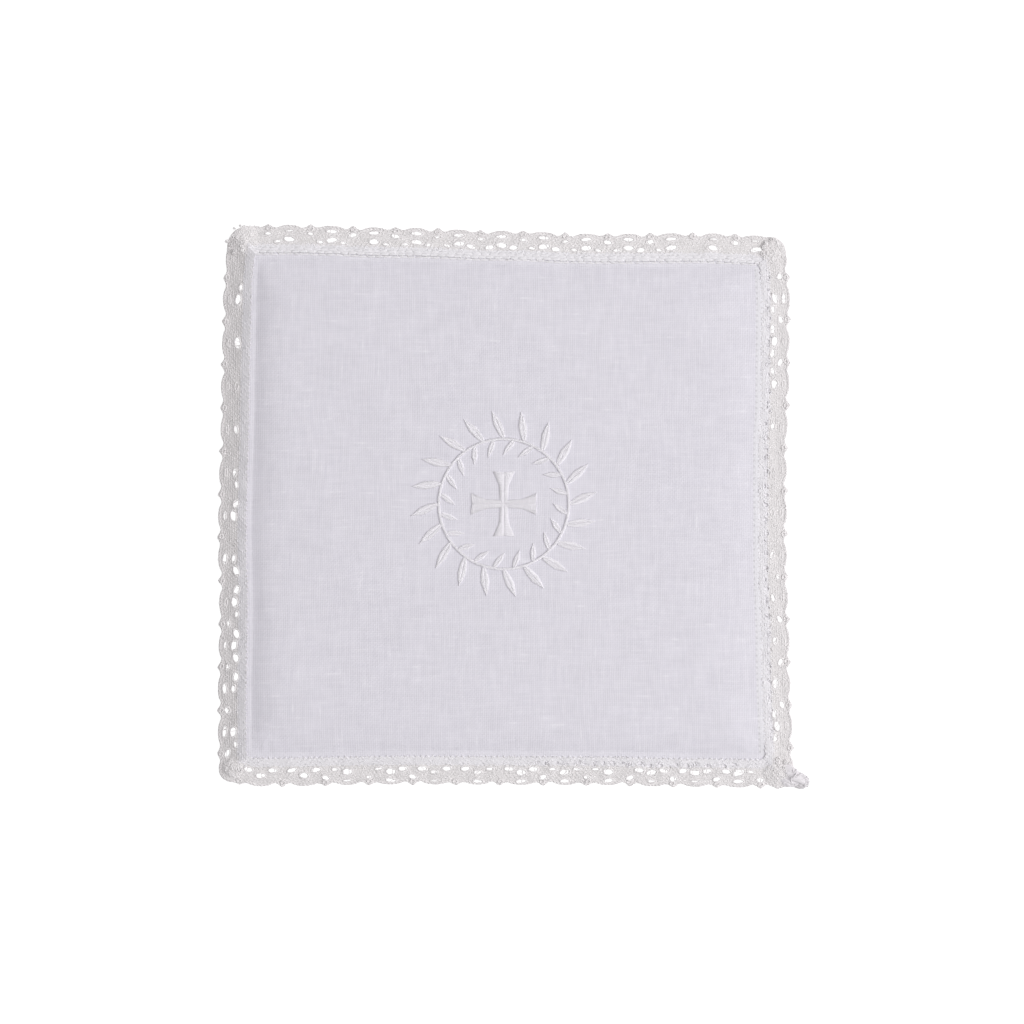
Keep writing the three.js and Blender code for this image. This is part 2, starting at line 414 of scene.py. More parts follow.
@dataclass(frozen=True)
class Strip:
    """The lace along one side, between the mitres at its two corners."""

    side: Side
    before: Side
    after: Side
    inner: float = 7.9
    inner_corner: float = 2.5
    depth: float = 1.0
    uneven: float = 0.2
    corner_clear: float = 0.6
    corner_ease: float = 2.0
    arc_share: float = 0.98
    seam_arc_share: float = 0.7072
    mitre_rounds: int = 3
    lay_rounds: int = 14
    bend_nudges: tuple[float, ...] = (-0.03, -0.015, 0.0, 0.015, 0.03)
    valley_rows: tuple[tuple[float, float], ...] = (
        (-0.41, 0.6),
        (-0.31, 1.0),
        (-0.24, 0.5),
        (-0.13, 0.12),
        (0.0, 0.0),
        (0.13, 0.12),
        (0.24, 0.5),
        (0.31, 1.0),
        (0.41, 0.6),
        (0.45, 0.05),
        (0.5, -0.42),
        (0.55, 0.05),
        (0.59, 0.6),
    )

    @classmethod
    def around(cls, index: int) -> "Strip":
        """The strip of a side, between its neighbours.

        Args:
            index: The side's place in SIDES.

        Returns:
            The strip.
        """
        return cls(side=SIDES[index], before=SIDES[index - 1], after=SIDES[(index + 1) % len(SIDES)])

    def ends(self, inward: np.ndarray) -> tuple[np.ndarray, np.ndarray]:
        """Where the mitres lie, each point of one as far from the neighbour's crest line as from this.

        Args:
            inward: Distances from the crest line.

        Returns:
            The first and last places along the side at each distance.
        """
        low = inward - self.before.crest[-1].out
        high = self.after.crest[0].out - inward
        for _ in range(self.mitre_rounds):
            low = inward - self.before.crest_at(self.side.crest_at(low) - inward)
            high = self.after.crest_at(inward - self.side.crest_at(high)) - inward
        return low, high

    @cached_property
    def start(self) -> float:
        """Where the crest line meets that of the side before."""
        return float(self.ends(np.zeros(1))[0][0])

    @cached_property
    def end(self) -> float:
        """Where the crest line meets that of the side after."""
        return float(self.ends(np.zeros(1))[1][0])

    def scallop(self, along: np.ndarray) -> np.ndarray:
        """How far the scalloped edge stands back from the crest line.

        Args:
            along: Places along the side.

        Returns:
            The distance at each place, its bends eased.
        """
        rows = np.array(self.valley_rows)
        total = along * 0.0
        for nudge in self.bend_nudges:
            phase = (along - self.side.first) / self.side.pitch + nudge
            phase = phase - np.floor(phase - rows[0, 0])
            total = total + np.interp(phase, rows[:, 0], rows[:, 1])
        uneven = 0.9 + self.uneven * np.sin(0.31 * along + self.side.first)
        return self.depth * uneven * total / len(self.bend_nudges) - self.side.reach

    def edge(self, along: np.ndarray) -> np.ndarray:
        """The lace's outer edge, with the corners rounded.

        Args:
            along: Places along the side.

        Returns:
            The edge's distance from the crest line.
        """
        inset = self.scallop(along)
        for corner, beyond in (
            (self.side.corner, along - (self.end - self.side.corner)),
            (self.before.corner, self.start + self.before.corner - along),
        ):
            inset = inset * (1 - smooth(-self.corner_clear - self.corner_ease, -self.corner_clear, beyond))
            over = np.clip(beyond, 0, corner * self.arc_share)
            turned = np.maximum(inset, corner - np.sqrt(corner**2 - over**2))
            inset = np.where(beyond > 0, turned, inset)
        return inset

    def seam(self, along: np.ndarray) -> np.ndarray:
        """The lace's inner edge, rounded at the corners as the linen is.

        Args:
            along: Places along the side.

        Returns:
            The inner edge's distance from the crest line.
        """
        middle = self.inner + self.inner_corner
        low, high = self.ends(np.full(1, middle))
        past = np.maximum(along - high, low - along)
        over = np.clip(past, 0, self.inner_corner * self.seam_arc_share)
        return middle - np.sqrt(self.inner_corner**2 - over**2)

    def lay(self, run: np.ndarray, depth: np.ndarray) -> tuple[np.ndarray, np.ndarray]:
        """Spreads even shares over the strip, from mitre to mitre and from its edge to the seam.

        Args:
            run: Shares along the strip, 0 to 1.
            depth: Shares across it, 0 at the scalloped edge.

        Returns:
            Places along the side and distances from the crest line.
        """
        along = self.start + (self.end - self.start) * run
        inward = along * 0.0
        for _ in range(self.lay_rounds):
            edge = self.edge(along)
            inward = edge + depth * (self.seam(along) - edge)
            low, high = self.ends(inward)
            along = (along + low + (high - low) * run) / 2
        return along, inward

    def holds(self, along: np.ndarray, inward: np.ndarray, margin: float) -> np.ndarray:
        """Which points lie on the strip.

        Args:
            along: Places along the side.
            inward: Distances from the crest line.
            margin: How far a point must lie from the scalloped edge.

        Returns:
            True for each point that does.
        """
        low, high = self.ends(inward)
        return (along > low) & (along < high) & (inward > self.edge(along) + margin)


class Shape:
    """A small mesh as arrays, to be repeated many times in one piece."""

    def __init__(self, bm: bmesh.types.BMesh) -> None:
        """Reads the shape and unwraps it round its X axis, then frees the bmesh.

        Args:
            bm: A closed shape, one unit long on X.
        """
        bm.verts.index_update()
        self.points = np.array([v.co for v in bm.verts])
        self.starts = np.cumsum([0] + [len(f.verts) for f in bm.faces])[:-1]
        self.corners = np.array([v.index for f in bm.faces for v in f.verts])
        self.unwrapped = np.array([uv for f in bm.faces for uv in self.unwrap(f)])
        bm.free()

    @staticmethod
    def unwrap(face: bmesh.types.BMFace) -> list[tuple[float, float]]:
        """One face's place along and round the X axis.

        Args:
            face: A face of the shape.

        Returns:
            A pair for each corner.
        """
        middle = face.calc_center_median()
        home = math.atan2(middle.z, middle.y)
        pairs = []
        for v in face.verts:
            turn = home
            if math.hypot(v.co.y, v.co.z) > 1e-4:
                turn = math.atan2(v.co.z, v.co.y)
            turn = home + (turn - home + math.pi) % (2 * math.pi) - math.pi
            pairs.append((v.co.x + 0.5, turn / (2 * math.pi)))
        return pairs


def stitch_shape(sides: int, rings: int) -> Shape:
    """A plump stitch lying on X, one unit long and one thick.

    Args:
        sides: Faces round it.
        rings: Faces along it.

    Returns:
        The shape.
    """
    bm = bmesh.new()
    bmesh.ops.create_uvsphere(bm, u_segments=sides, v_segments=rings, radius=0.5)
    bmesh.ops.rotate(bm, verts=bm.verts, matrix=Matrix.Rotation(math.pi / 2, 3, "Y"))
    return Shape(bm)


def unit(vectors: np.ndarray) -> np.ndarray:
    """The vectors' directions, a row each."""
    return vectors / np.linalg.norm(vectors, axis=1, keepdims=True)


def set_tone(mesh: bpy.types.Mesh, tone: np.ndarray | float) -> None:
    """Stores how light a mesh's points are.

    Args:
        mesh: The mesh.
        tone: One tone for all its points, or one for each.
    """
    values = mesh.attributes.new("tone", "FLOAT", "POINT")
    values.data.foreach_set("value", np.broadcast_to(tone, len(mesh.vertices)).astype(np.float32))


def mesh_from(name: str, points: np.ndarray, starts: np.ndarray, corners: np.ndarray) -> bpy.types.Mesh:
    """Makes a mesh of arrays.

    Args:
        name: The mesh's name.
        points: One point a row, in millimetres.
        starts: Where each face's corners start.
        corners: The point of each corner.

    Returns:
        The mesh, in metres.
    """
    mesh = bpy.data.meshes.new(name)
    mesh.vertices.add(len(points))
    mesh.loops.add(len(corners))
    mesh.polygons.add(len(starts))
    mesh.vertices.foreach_set("co", (points * MM).astype(np.float32).ravel())
    mesh.loops.foreach_set("vertex_index", corners.astype(np.int32))
    mesh.polygons.foreach_set("loop_start", starts.astype(np.int32))
    mesh.update(calc_edges=True)
    mesh.shade_smooth()
    return mesh


class Stitches:
    """Collects the places of many small stitches and joins them into one mesh."""

    def __init__(self, shape: Shape) -> None:
        """Starts with none.

        Args:
            shape: What each stitch looks like.
        """
        self.shape = shape
        self.frames: list[np.ndarray] = []
        self.middles: list[np.ndarray] = []
        self.tones: list[np.ndarray] = []

    def add(
        self,
        middles: np.ndarray,
        directions: np.ndarray,
        length: np.ndarray | float,
        thick: np.ndarray | float,
        tone: np.ndarray | float = 0.5,
        flat: float = 1.0,
    ) -> None:
        """Places stitches.

        Args:
            middles: Their middles, a row each.
            directions: The unit direction that each one points in.
            length: Their lengths.
            thick: Their thickness.
            tone: How light each is, from 0 to 1.
            flat: Their height as a share of their thickness.
        """
        count = len(middles)
        if not count:
            return
        across = unit(np.cross(UP, directions))
        rise = np.cross(directions, across)
        thick = np.broadcast_to(thick, count)[:, None]
        frames = np.stack(
            [directions * np.broadcast_to(length, count)[:, None], across * thick, rise * thick * flat],
            axis=1,
        )
        self.frames.append(frames)
        self.middles.append(middles)
        self.tones.append(np.broadcast_to(tone, count))

    def mesh(self, name: str) -> bpy.types.Mesh:
        """Joins the stitches.

        Args:
            name: The mesh's name.

        Returns:
            One mesh, with the shape's unwrapping and a tone for each point.
        """
        frames = np.concatenate(self.frames)
        middles = np.concatenate(self.middles)
        tones = np.concatenate(self.tones)
        shape = self.shape
        count, size = len(middles), len(shape.points)
        points = np.einsum("ka,nab->nkb", shape.points, frames) + middles[:, None, :]
        shift = np.arange(count)[:, None]
        starts = (shape.starts + shift * len(shape.corners)).ravel()
        corners = (shape.corners + shift * size).ravel()
        mesh = mesh_from(name, points.reshape(-1, 3), starts, corners)
        layer = mesh.uv_layers.new(name="ply")
        layer.data.foreach_set("uv", np.tile(shape.unwrapped, (count, 1)).astype(np.float32).ravel())
        set_tone(mesh, np.repeat(tones, size))
        return mesh


def mesh_of(bm: bmesh.types.BMesh, name: str, tone: np.ndarray | float = 0.5) -> bpy.types.Mesh:
    """Turns a bmesh in millimetres into a smooth mesh in metres, and frees it.

    Args:
        bm: The bmesh.
        name: The mesh's name.
        tone: The tone of its points.

    Returns:
        The mesh.
    """
    bmesh.ops.scale(bm, verts=bm.verts, vec=(MM, MM, MM))
    mesh = bpy.data.meshes.new(name)
    bm.to_mesh(mesh)
    bm.free()
    mesh.shade_smooth()
    set_tone(mesh, tone)
    return mesh


def cords_mesh(
    name: str, paths: Sequence[np.ndarray], thick: float, tone: float = 0.5, closed: bool = False
) -> bpy.types.Mesh:
    """Round cords along paths, joined into one mesh.

    Args:
        name: The mesh's name.
        paths: Each path's points, in millimetres, with a share of the thickness as a fourth value.
        thick: The cords' thickness.
        tone: The tone of all their points.
        closed: Whether each path ends where it starts.

    Returns:
        The mesh, in metres.
    """
    curve = bpy.data.curves.new(name, "CURVE")
    curve.dimensions = "3D"
    curve.bevel_depth = thick / 2 * MM
    curve.bevel_resolution = 1
    curve.use_fill_caps = True
    for path in paths:
        spline = curve.splines.new("POLY")
        spline.use_cyclic_u = closed
        spline.points.add(len(path) - 1)
        flat = np.concatenate([path[:, :3] * MM, np.ones((len(path), 1))], axis=1)
        spline.points.foreach_set("co", flat.astype(np.float32).ravel())
        spline.points.foreach_set("radius", path[:, 3].astype(np.float32))
    carrier = bpy.data.objects.new(name, curve)
    mesh = bpy.data.meshes.new_from_object(carrier)
    bpy.data.objects.remove(carrier)
    bpy.data.curves.remove(curve)
    mesh.name = name
    mesh.shade_smooth()
    set_tone(mesh, tone)
    return mesh


def eased_ring(points: np.ndarray, step: float, rounds: int) -> np.ndarray:
    """An even and softly bent closed line through a ring of points.

    Args:
        points: The points, a row each.
        step: The distance between the line's points.
        rounds: How often its bends are eased.

    Returns:
        The line's points.
    """
    whole = np.vstack([points, points[:1]])
    gone = np.concatenate([[0], np.cumsum(np.linalg.norm(np.diff(whole, axis=0), axis=1))])
    even = np.linspace(0, gone[-1], round(gone[-1] / step), endpoint=False)
    line = np.column_stack([np.interp(even, gone, whole[:, axis]) for axis in range(whole.shape[1])])
    for _ in range(rounds):
        line = (np.roll(line, 1, axis=0) + 2 * line + np.roll(line, -1, axis=0)) / 4
    return line


def plied(ring: np.ndarray, plies: int, offset: float, turn: float) -> list[np.ndarray]:
    """The paths of yarns twisted round one closed line.

    Args:
        ring: The line's points.
        plies: How many yarns there are.
        offset: Their distance from the line.
        turn: The length of one full twist.

    Returns:
        One path a yarn, each point with its full share of the thickness.
    """
    ahead = (np.roll(ring, -1, axis=0) - np.roll(ring, 1, axis=0)) / 2
    steps = np.linalg.norm(ahead, axis=1)
    ahead /= steps[:, None]
    side = unit(np.cross(UP, ahead))
    rise = np.cross(ahead, side)
    twists = round(steps.sum() / turn)
    angle = np.cumsum(steps) / steps.sum() * twists * 2 * math.pi
    paths = []
    for ply in range(plies):
        phase = (angle + 2 * math.pi * ply / plies)[:, None]
        points = ring + offset * (np.cos(phase) * side + np.sin(phase) * rise)
        paths.append(np.column_stack([points, np.ones(len(ring))]))
    return paths


def set_piece(name: str, mesh: bpy.types.Mesh, finish: bpy.types.Material) -> bpy.types.Object:
    """Makes a piece of the pall.

    Args:
        name: The piece's name.
        mesh: Its mesh, in metres and in place.
        finish: Its material.

    Returns:
        The piece.
    """
    mesh.materials.append(finish)
    piece = bpy.data.objects.new(name, mesh)
    bpy.context.scene.collection.objects.link(piece)
    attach(piece, BODY)
    triangles = sum(len(p.vertices) - 2 for p in mesh.polygons)
    log.info("%s: %d triangles", name, triangles)
    return piece


class NodeBoard:
    """Adds nodes to one material, each linked by the names of its inputs."""

    def __init__(self, name: str) -> None:
        """Starts a material with its shader.

        Args:
            name: The material's name.
        """
        self.material = bpy.data.materials.new(name)
        self.material.use_nodes = True
        self.nodes = self.material.node_tree.nodes
        self.links = self.material.node_tree.links
        self.shader = self.nodes["Principled BSDF"]

    def fill(self, node: bpy.types.Node, inputs: dict[Any, Any]) -> None:
        """Sets a node's inputs.

        Args:
            node: The node.
            inputs: A value or another node's output for each input.
        """
        for key, value in inputs.items():
            if isinstance(value, bpy.types.NodeSocket):
                self.links.new(value, node.inputs[key])
            else:
                node.inputs[key].default_value = value

    def add(self, kind: str, inputs: dict[Any, Any] | None = None, **settings: Any) -> bpy.types.Node:
        """Adds a node.

        Args:
            kind: The node's kind, as Blender names it after ShaderNode.
            inputs: What its inputs hold.
            **settings: Its own settings.

        Returns:
            The node.
        """
        node = self.nodes.new("ShaderNode" + kind)
        for key, value in settings.items():
            setattr(node, key, value)
        self.fill(node, inputs or {})
        return node

    def place(self) -> bpy.types.NodeSocket:
        """The place on the piece, in millimetres."""
        metres = self.add("TexCoord").outputs["Object"]
        return self.add("Mapping", {"Vector": metres, "Scale": (1 / MM, 1 / MM, 1 / MM)}).outputs[0]

    def noise(self, place: Any, scale: float, detail: float, roughness: float = 0.5) -> bpy.types.Node:
        """An uneven pattern, its scale in waves a millimetre."""
        inputs = {"Vector": place, "Scale": scale, "Detail": detail, "Roughness": roughness}
        return self.add("TexNoise", inputs)

    def sum(self, operation: str, *values: Any) -> bpy.types.NodeSocket:
        """The result of one sum on numbers or outputs."""
        return self.add("Math", dict(enumerate(values)), operation=operation).outputs[0]

    def ramp(self, value: Any, low: float, high: float, start: float = 0.0, stop: float = 1.0) -> Any:
        """Maps a value from low and high to start and stop, held at both ends."""
        inputs = {"Value": value, "From Min": low, "From Max": high, "To Min": start, "To Max": stop}
        return self.add("MapRange", inputs).outputs["Result"]

    def mixed(self, share: Any, first: Any, second: Any) -> bpy.types.NodeSocket:
        """A colour between two colours or outputs, by a share."""
        node = self.add("Mix", {0: share, 6: first, 7: second}, data_type="RGBA")
        return node.outputs[2]


class Weave(NamedTuple):
    """The outputs that the cloth's colour and relief share.

    warp and weft are the threads' round sections, the tones say how light each thread is, crossing is
    the section of whichever thread lies on top, and slub is the share of a thick place.
    """

    warp: Any
    weft: Any
    warp_tone: Any
    weft_tone: Any
    crossing: Any
    slub: Any


@dataclass(frozen=True)
class LinenFinish:
    """Plain-weave linen, slightly cool, with uneven threads and a line of small holes along its hem."""

    half_size: tuple[float, float]
    name: str = "white_linen"
    dark_thread_and_shade: Colour = (0.715, 0.692, 0.764, 1.0)
    pale: Colour = (0.862, 0.836, 0.902, 1.0)
    slub: Colour = (0.90, 0.88, 0.93, 1.0)
    painted_hollow_shade: Colour = (0.50, 0.48, 0.51, 1.0)
    hem: Colour = (0.88, 0.865, 0.89, 1.0)
    pitch: float = 0.65
    slub_length: float = 1 / 0.11
    thread_salt: float = 7.31
    relief: float = 0.04
    waver: float = 1.6
    warp_share: float = 0.95
    weft_share: float = 0.78
    warp_painted_shade: float = 0.24
    weft_painted_shade: float = 0.08
    slub_share: float = 0.3
    hem_share: float = 0.55
    hole_painted_shade: float = 0.32
    hole_inset: float = 2.1
    hole_pitch: float = 1.74

    def threads(self, board: NodeBoard, across: Any, along: Any, salt: float) -> tuple[Any, Any, Any]:
        """One set of parallel threads.

        Args:
            board: The material's nodes.
            across: The coordinate across the threads, in millimetres.
            along: The coordinate along them.
            salt: Makes the set differ from the other.

        Returns:
            The threads' round section, how light each place is, and the thread's number.
        """
        scaled = board.sum("DIVIDE", across, self.pitch)
        number = board.sum("FLOOR", scaled)
        section = board.sum("ABSOLUTE", board.sum("SINE", board.sum("MULTIPLY", scaled, math.pi)))
        row = board.sum("MULTIPLY_ADD", number, self.thread_salt, salt)
        run = board.sum("MULTIPLY", along, 1 / self.slub_length)
        place = board.add("CombineXYZ", {"X": row, "Y": run}).outputs[0]
        return section, board.noise(place, 1.0, 2.0, 0.6).outputs["Fac"], number

    def hem_holes(self, board: NodeBoard) -> tuple[Any, Any, Any]:
        """The line of small holes where the hem is sewn, plainest on the right.

        Args:
            board: The material's nodes.

        Returns:
            How far each place lies in a hole, in the line's groove and on the pale doubled hem.
        """
        lay = board.add("SeparateXYZ", {"Vector": board.add("UVMap", uv_map="lay").outputs[0]})
        u, v = lay.outputs["X"], lay.outputs["Y"]
        left_u = board.sum("SUBTRACT", self.half_size[0], board.sum("ABSOLUTE", u))
        left_v = board.sum("SUBTRACT", self.half_size[1], board.sum("ABSOLUTE", v))
        upright = board.sum("LESS_THAN", left_u, left_v)
        along = board.add("Mix", {0: upright, 2: u, 3: v}).outputs[0]
        away = board.sum("SUBTRACT", board.sum("MINIMUM", left_u, left_v), self.hole_inset)
        beat = board.sum("PINGPONG", along, self.hole_pitch / 2)
        squares = board.sum("ADD", board.sum("POWER", away, 2), board.sum("POWER", beat, 2))
        apart = board.sum("SQRT", squares)
        right = board.sum("MULTIPLY", upright, board.sum("GREATER_THAN", u, 0.0))
        # The hem's holes and pale band are strongest on the right side: painted shade and painted light
        # there.
        strength = board.sum("MULTIPLY_ADD", right, 0.8, 0.2)
        hole = board.sum("MULTIPLY", board.ramp(apart, 0.1, 0.5, 1.0, 0.0), strength)
        groove = board.ramp(board.sum("ABSOLUTE", away), 0.1, 0.45, 1.0, 0.0)
        hem = board.sum("MULTIPLY", board.ramp(away, -0.1, 0.25, 1.0, 0.0), strength)
        return hole, groove, hem

    def wavering(self, board: NodeBoard, place: Any) -> bpy.types.Node:
        """The cloth's own X and Y, which waver as its threads do.

        Args:
            board: The material's nodes.
            place: The place on the cloth, in millimetres.

        Returns:
            A node with X and Y as its outputs.
        """
        waver = board.noise(place, 0.05, 1.0).outputs["Color"]
        swing = board.add("VectorMath", {0: waver, 1: (0.5, 0.5, 0.5)}, operation="SUBTRACT").outputs[0]
        swing = board.add("VectorMath", {0: swing, "Scale": self.waver}, operation="SCALE").outputs[0]
        moved = board.add("VectorMath", {0: place, 1: swing}, operation="ADD").outputs[0]
        return board.add("SeparateXYZ", {"Vector": moved})

    def woven(self, board: NodeBoard, place: Any) -> Weave:
        """The warp and the weft, over and under one another.

        Args:
            board: The material's nodes.
            place: The place on the cloth, in millimetres.

        Returns:
            The weave.
        """
        parts = self.wavering(board, place)
        x, y = parts.outputs["X"], parts.outputs["Y"]
        warp, warp_tone, warp_number = self.threads(board, x, y, 3.7)
        weft, weft_tone, weft_number = self.threads(board, y, x, 91.3)
        parity = board.sum("PINGPONG", board.sum("ADD", warp_number, weft_number), 1.0)
        crossing = board.add("Mix", {0: parity, 2: warp, 3: weft}).outputs[0]
        slub = board.sum("MAXIMUM", board.ramp(warp_tone, 0.68, 0.76), board.ramp(weft_tone, 0.66, 0.74))
        return Weave(warp, weft, warp_tone, weft_tone, crossing, slub)

    def coloured(self, board: NodeBoard, place: Any, weave: Weave) -> Any:
        """The cloth's colour: uneven threads, painted shade in the hollows between them, and their slubs.

        Args:
            board: The material's nodes.
            place: The place on the cloth, in millimetres.
            weave: Its threads.

        Returns:
            The colour's output.
        """
        warp_part = board.sum("SUBTRACT", weave.warp_tone, 0.5)
        weft_part = board.sum("SUBTRACT", weave.weft_tone, 0.5)
        tone = board.sum("MULTIPLY_ADD", warp_part, self.warp_share, 0.5)
        tone = board.sum("MULTIPLY_ADD", weft_part, self.weft_share, tone)
        colour = board.mixed(board.ramp(tone, 0.0, 1.0), self.dark_thread_and_shade, self.pale)
        # Painted shade at the edges of the top thread.
        colour = board.mixed(board.ramp(weave.crossing, 0.0, 0.5, 0.2, 0.0), colour, self.dark_thread_and_shade)
        patchy = board.noise(place, 0.22, 2.0).outputs["Fac"]
        # Painted shade in the lines between the warp threads, patchy in strength.
        deep = board.sum("MULTIPLY", board.ramp(patchy, 0.35, 0.65, 0.4, 1.25), self.warp_painted_shade)
        line = board.sum("MULTIPLY", board.ramp(weave.warp, 0.0, 1.0, 1.0, 0.0), deep)
        colour = board.mixed(line, colour, self.painted_hollow_shade)
        # Painted shade between the weft threads.
        line = board.ramp(weave.weft, 0.0, 1.0, self.weft_painted_shade, 0.0)
        colour = board.mixed(line, colour, self.painted_hollow_shade)
        return board.mixed(board.sum("MULTIPLY", weave.slub, self.slub_share), colour, self.slub)

    def material(self) -> bpy.types.Material:
        """Builds the cloth's nodes and returns the material."""
        board = NodeBoard(self.name)
        place = board.place()
        weave = self.woven(board, place)
        colour = self.coloured(board, place, weave)
        hole, groove, hem = self.hem_holes(board)
        # The doubled hem is paler, and its extra paleness on the right side is painted light.
        colour = board.mixed(board.sum("MULTIPLY", hem, self.hem_share), colour, self.hem)
        # Painted shade in the hem's holes.
        colour = board.mixed(board.sum("MULTIPLY", hole, self.hole_painted_shade), colour, self.painted_hollow_shade)
        fibre = board.noise(place, 5.0, 4.0).outputs["Fac"]
        height = board.sum("MULTIPLY_ADD", weave.slub, 0.4, weave.crossing)
        height = board.sum("MULTIPLY_ADD", fibre, 0.3, height)
        height = board.sum("MULTIPLY_ADD", hole, -2.0, height)
        height = board.sum("MULTIPLY_ADD", groove, -0.5, height)
        bump = board.add("Bump", {"Height": height, "Distance": self.relief * MM, "Strength": 0.8})
        board.fill(
            board.shader,
            {
                "Base Color": colour,
                "Roughness": 0.88,
                "Specular IOR Level": 0.25,
                "Sheen Weight": 0.12,
                "Sheen Roughness": 0.6,
                "Normal": bump.outputs[0],
            },
        )
        return board.material


@dataclass(frozen=True)
class CottonFinish:
    """Cotton yarn: matt and a little fuzzy, each stitch twisted, its tone holding painted light and shade
    too.
    """

    name: str
    colour: Colour
    shade: Colour
    twist: float = 2.5
    turns: float = 2.0
    relief: float = 0.02
    sheen: float = 0.1
    patch_share: float = 0.5
    tone_share: float = 0.9
    painted_groove_shade: float = 0.15

    def material(self) -> bpy.types.Material:
        """Builds the yarn's nodes and returns the material."""
        board = NodeBoard(self.name)
        place = board.place()
        ply = board.add("SeparateXYZ", {"Vector": board.add("UVMap", uv_map="ply").outputs[0]})
        along = board.sum("MULTIPLY", ply.outputs["X"], self.twist)
        around = board.sum("MULTIPLY_ADD", ply.outputs["Y"], self.turns, along)
        groove = board.sum("SINE", board.sum("MULTIPLY", around, 2 * math.pi))
        groove = board.ramp(groove, -1.0, 1.0)
        fuzz = board.noise(place, 5.5, 4.0, 0.7)
        patch = board.noise(place, 0.35, 2.0)
        tone = board.add("Attribute", attribute_name="tone").outputs["Fac"]
        # The tone holds each stitch's own lightness and its side's painted light and shade.
        light = board.sum("MULTIPLY", tone, -self.tone_share)
        share = board.sum("MULTIPLY_ADD", patch.outputs["Fac"], self.patch_share, light)
        # Painted shade in the grooves of the twist.
        share = board.sum("MULTIPLY_ADD", board.sum("SUBTRACT", 1.0, groove), self.painted_groove_shade, share)
        share = board.ramp(share, -0.35, 0.65)
        colour = board.mixed(share, self.colour, self.shade)
        height = board.sum("MULTIPLY_ADD", fuzz.outputs["Fac"], 0.8, groove)
        bump = board.add("Bump", {"Height": height, "Distance": self.relief * MM, "Strength": 0.7})
        board.fill(
            board.shader,
            {
                "Base Color": colour,
                "Roughness": 0.92,
                "Specular IOR Level": 0.2,
                "Sheen Weight": self.sheen,
                "Sheen Roughness": 0.5,
                "Normal": bump.outputs[0],
            },
        )
        return board.material


LACE_COTTON = CottonFinish(
    name="crochet_cotton",
    colour=(0.84, 0.813, 0.822, 1.0),
    shade=(0.675, 0.65, 0.659, 1.0),
    sheen=0.15,
)
# The web is darker than the yarn: painted shade where it shows in the pits and between the stitches.
LACE_GROUND_SHADE = CottonFinish(
    name="crochet_ground_painted_shade",
    colour=(0.775, 0.745, 0.75, 1.0),
    shade=(0.62, 0.595, 0.60, 1.0),
)
LACE_HEADING = CottonFinish(
    name="crochet_heading",
    colour=(0.85, 0.828, 0.86, 1.0),
    shade=(0.66, 0.642, 0.672, 1.0),
)
TAIL_COTTON = CottonFinish(
    name="bunched_cotton",
    colour=(0.785, 0.755, 0.785, 1.0),
    shade=(0.53, 0.51, 0.525, 1.0),
    relief=0.03,
)
SATIN_THREAD = CottonFinish(
    name="satin_stitch_thread",
    colour=(0.885, 0.862, 0.90, 1.0),
    shade=(0.80, 0.777, 0.82, 1.0),
    twist=3.0,
)


@dataclass(frozen=True)
class SectionRow:
    """The linen's height at a distance from its edge."""

    inset: float
    z: float


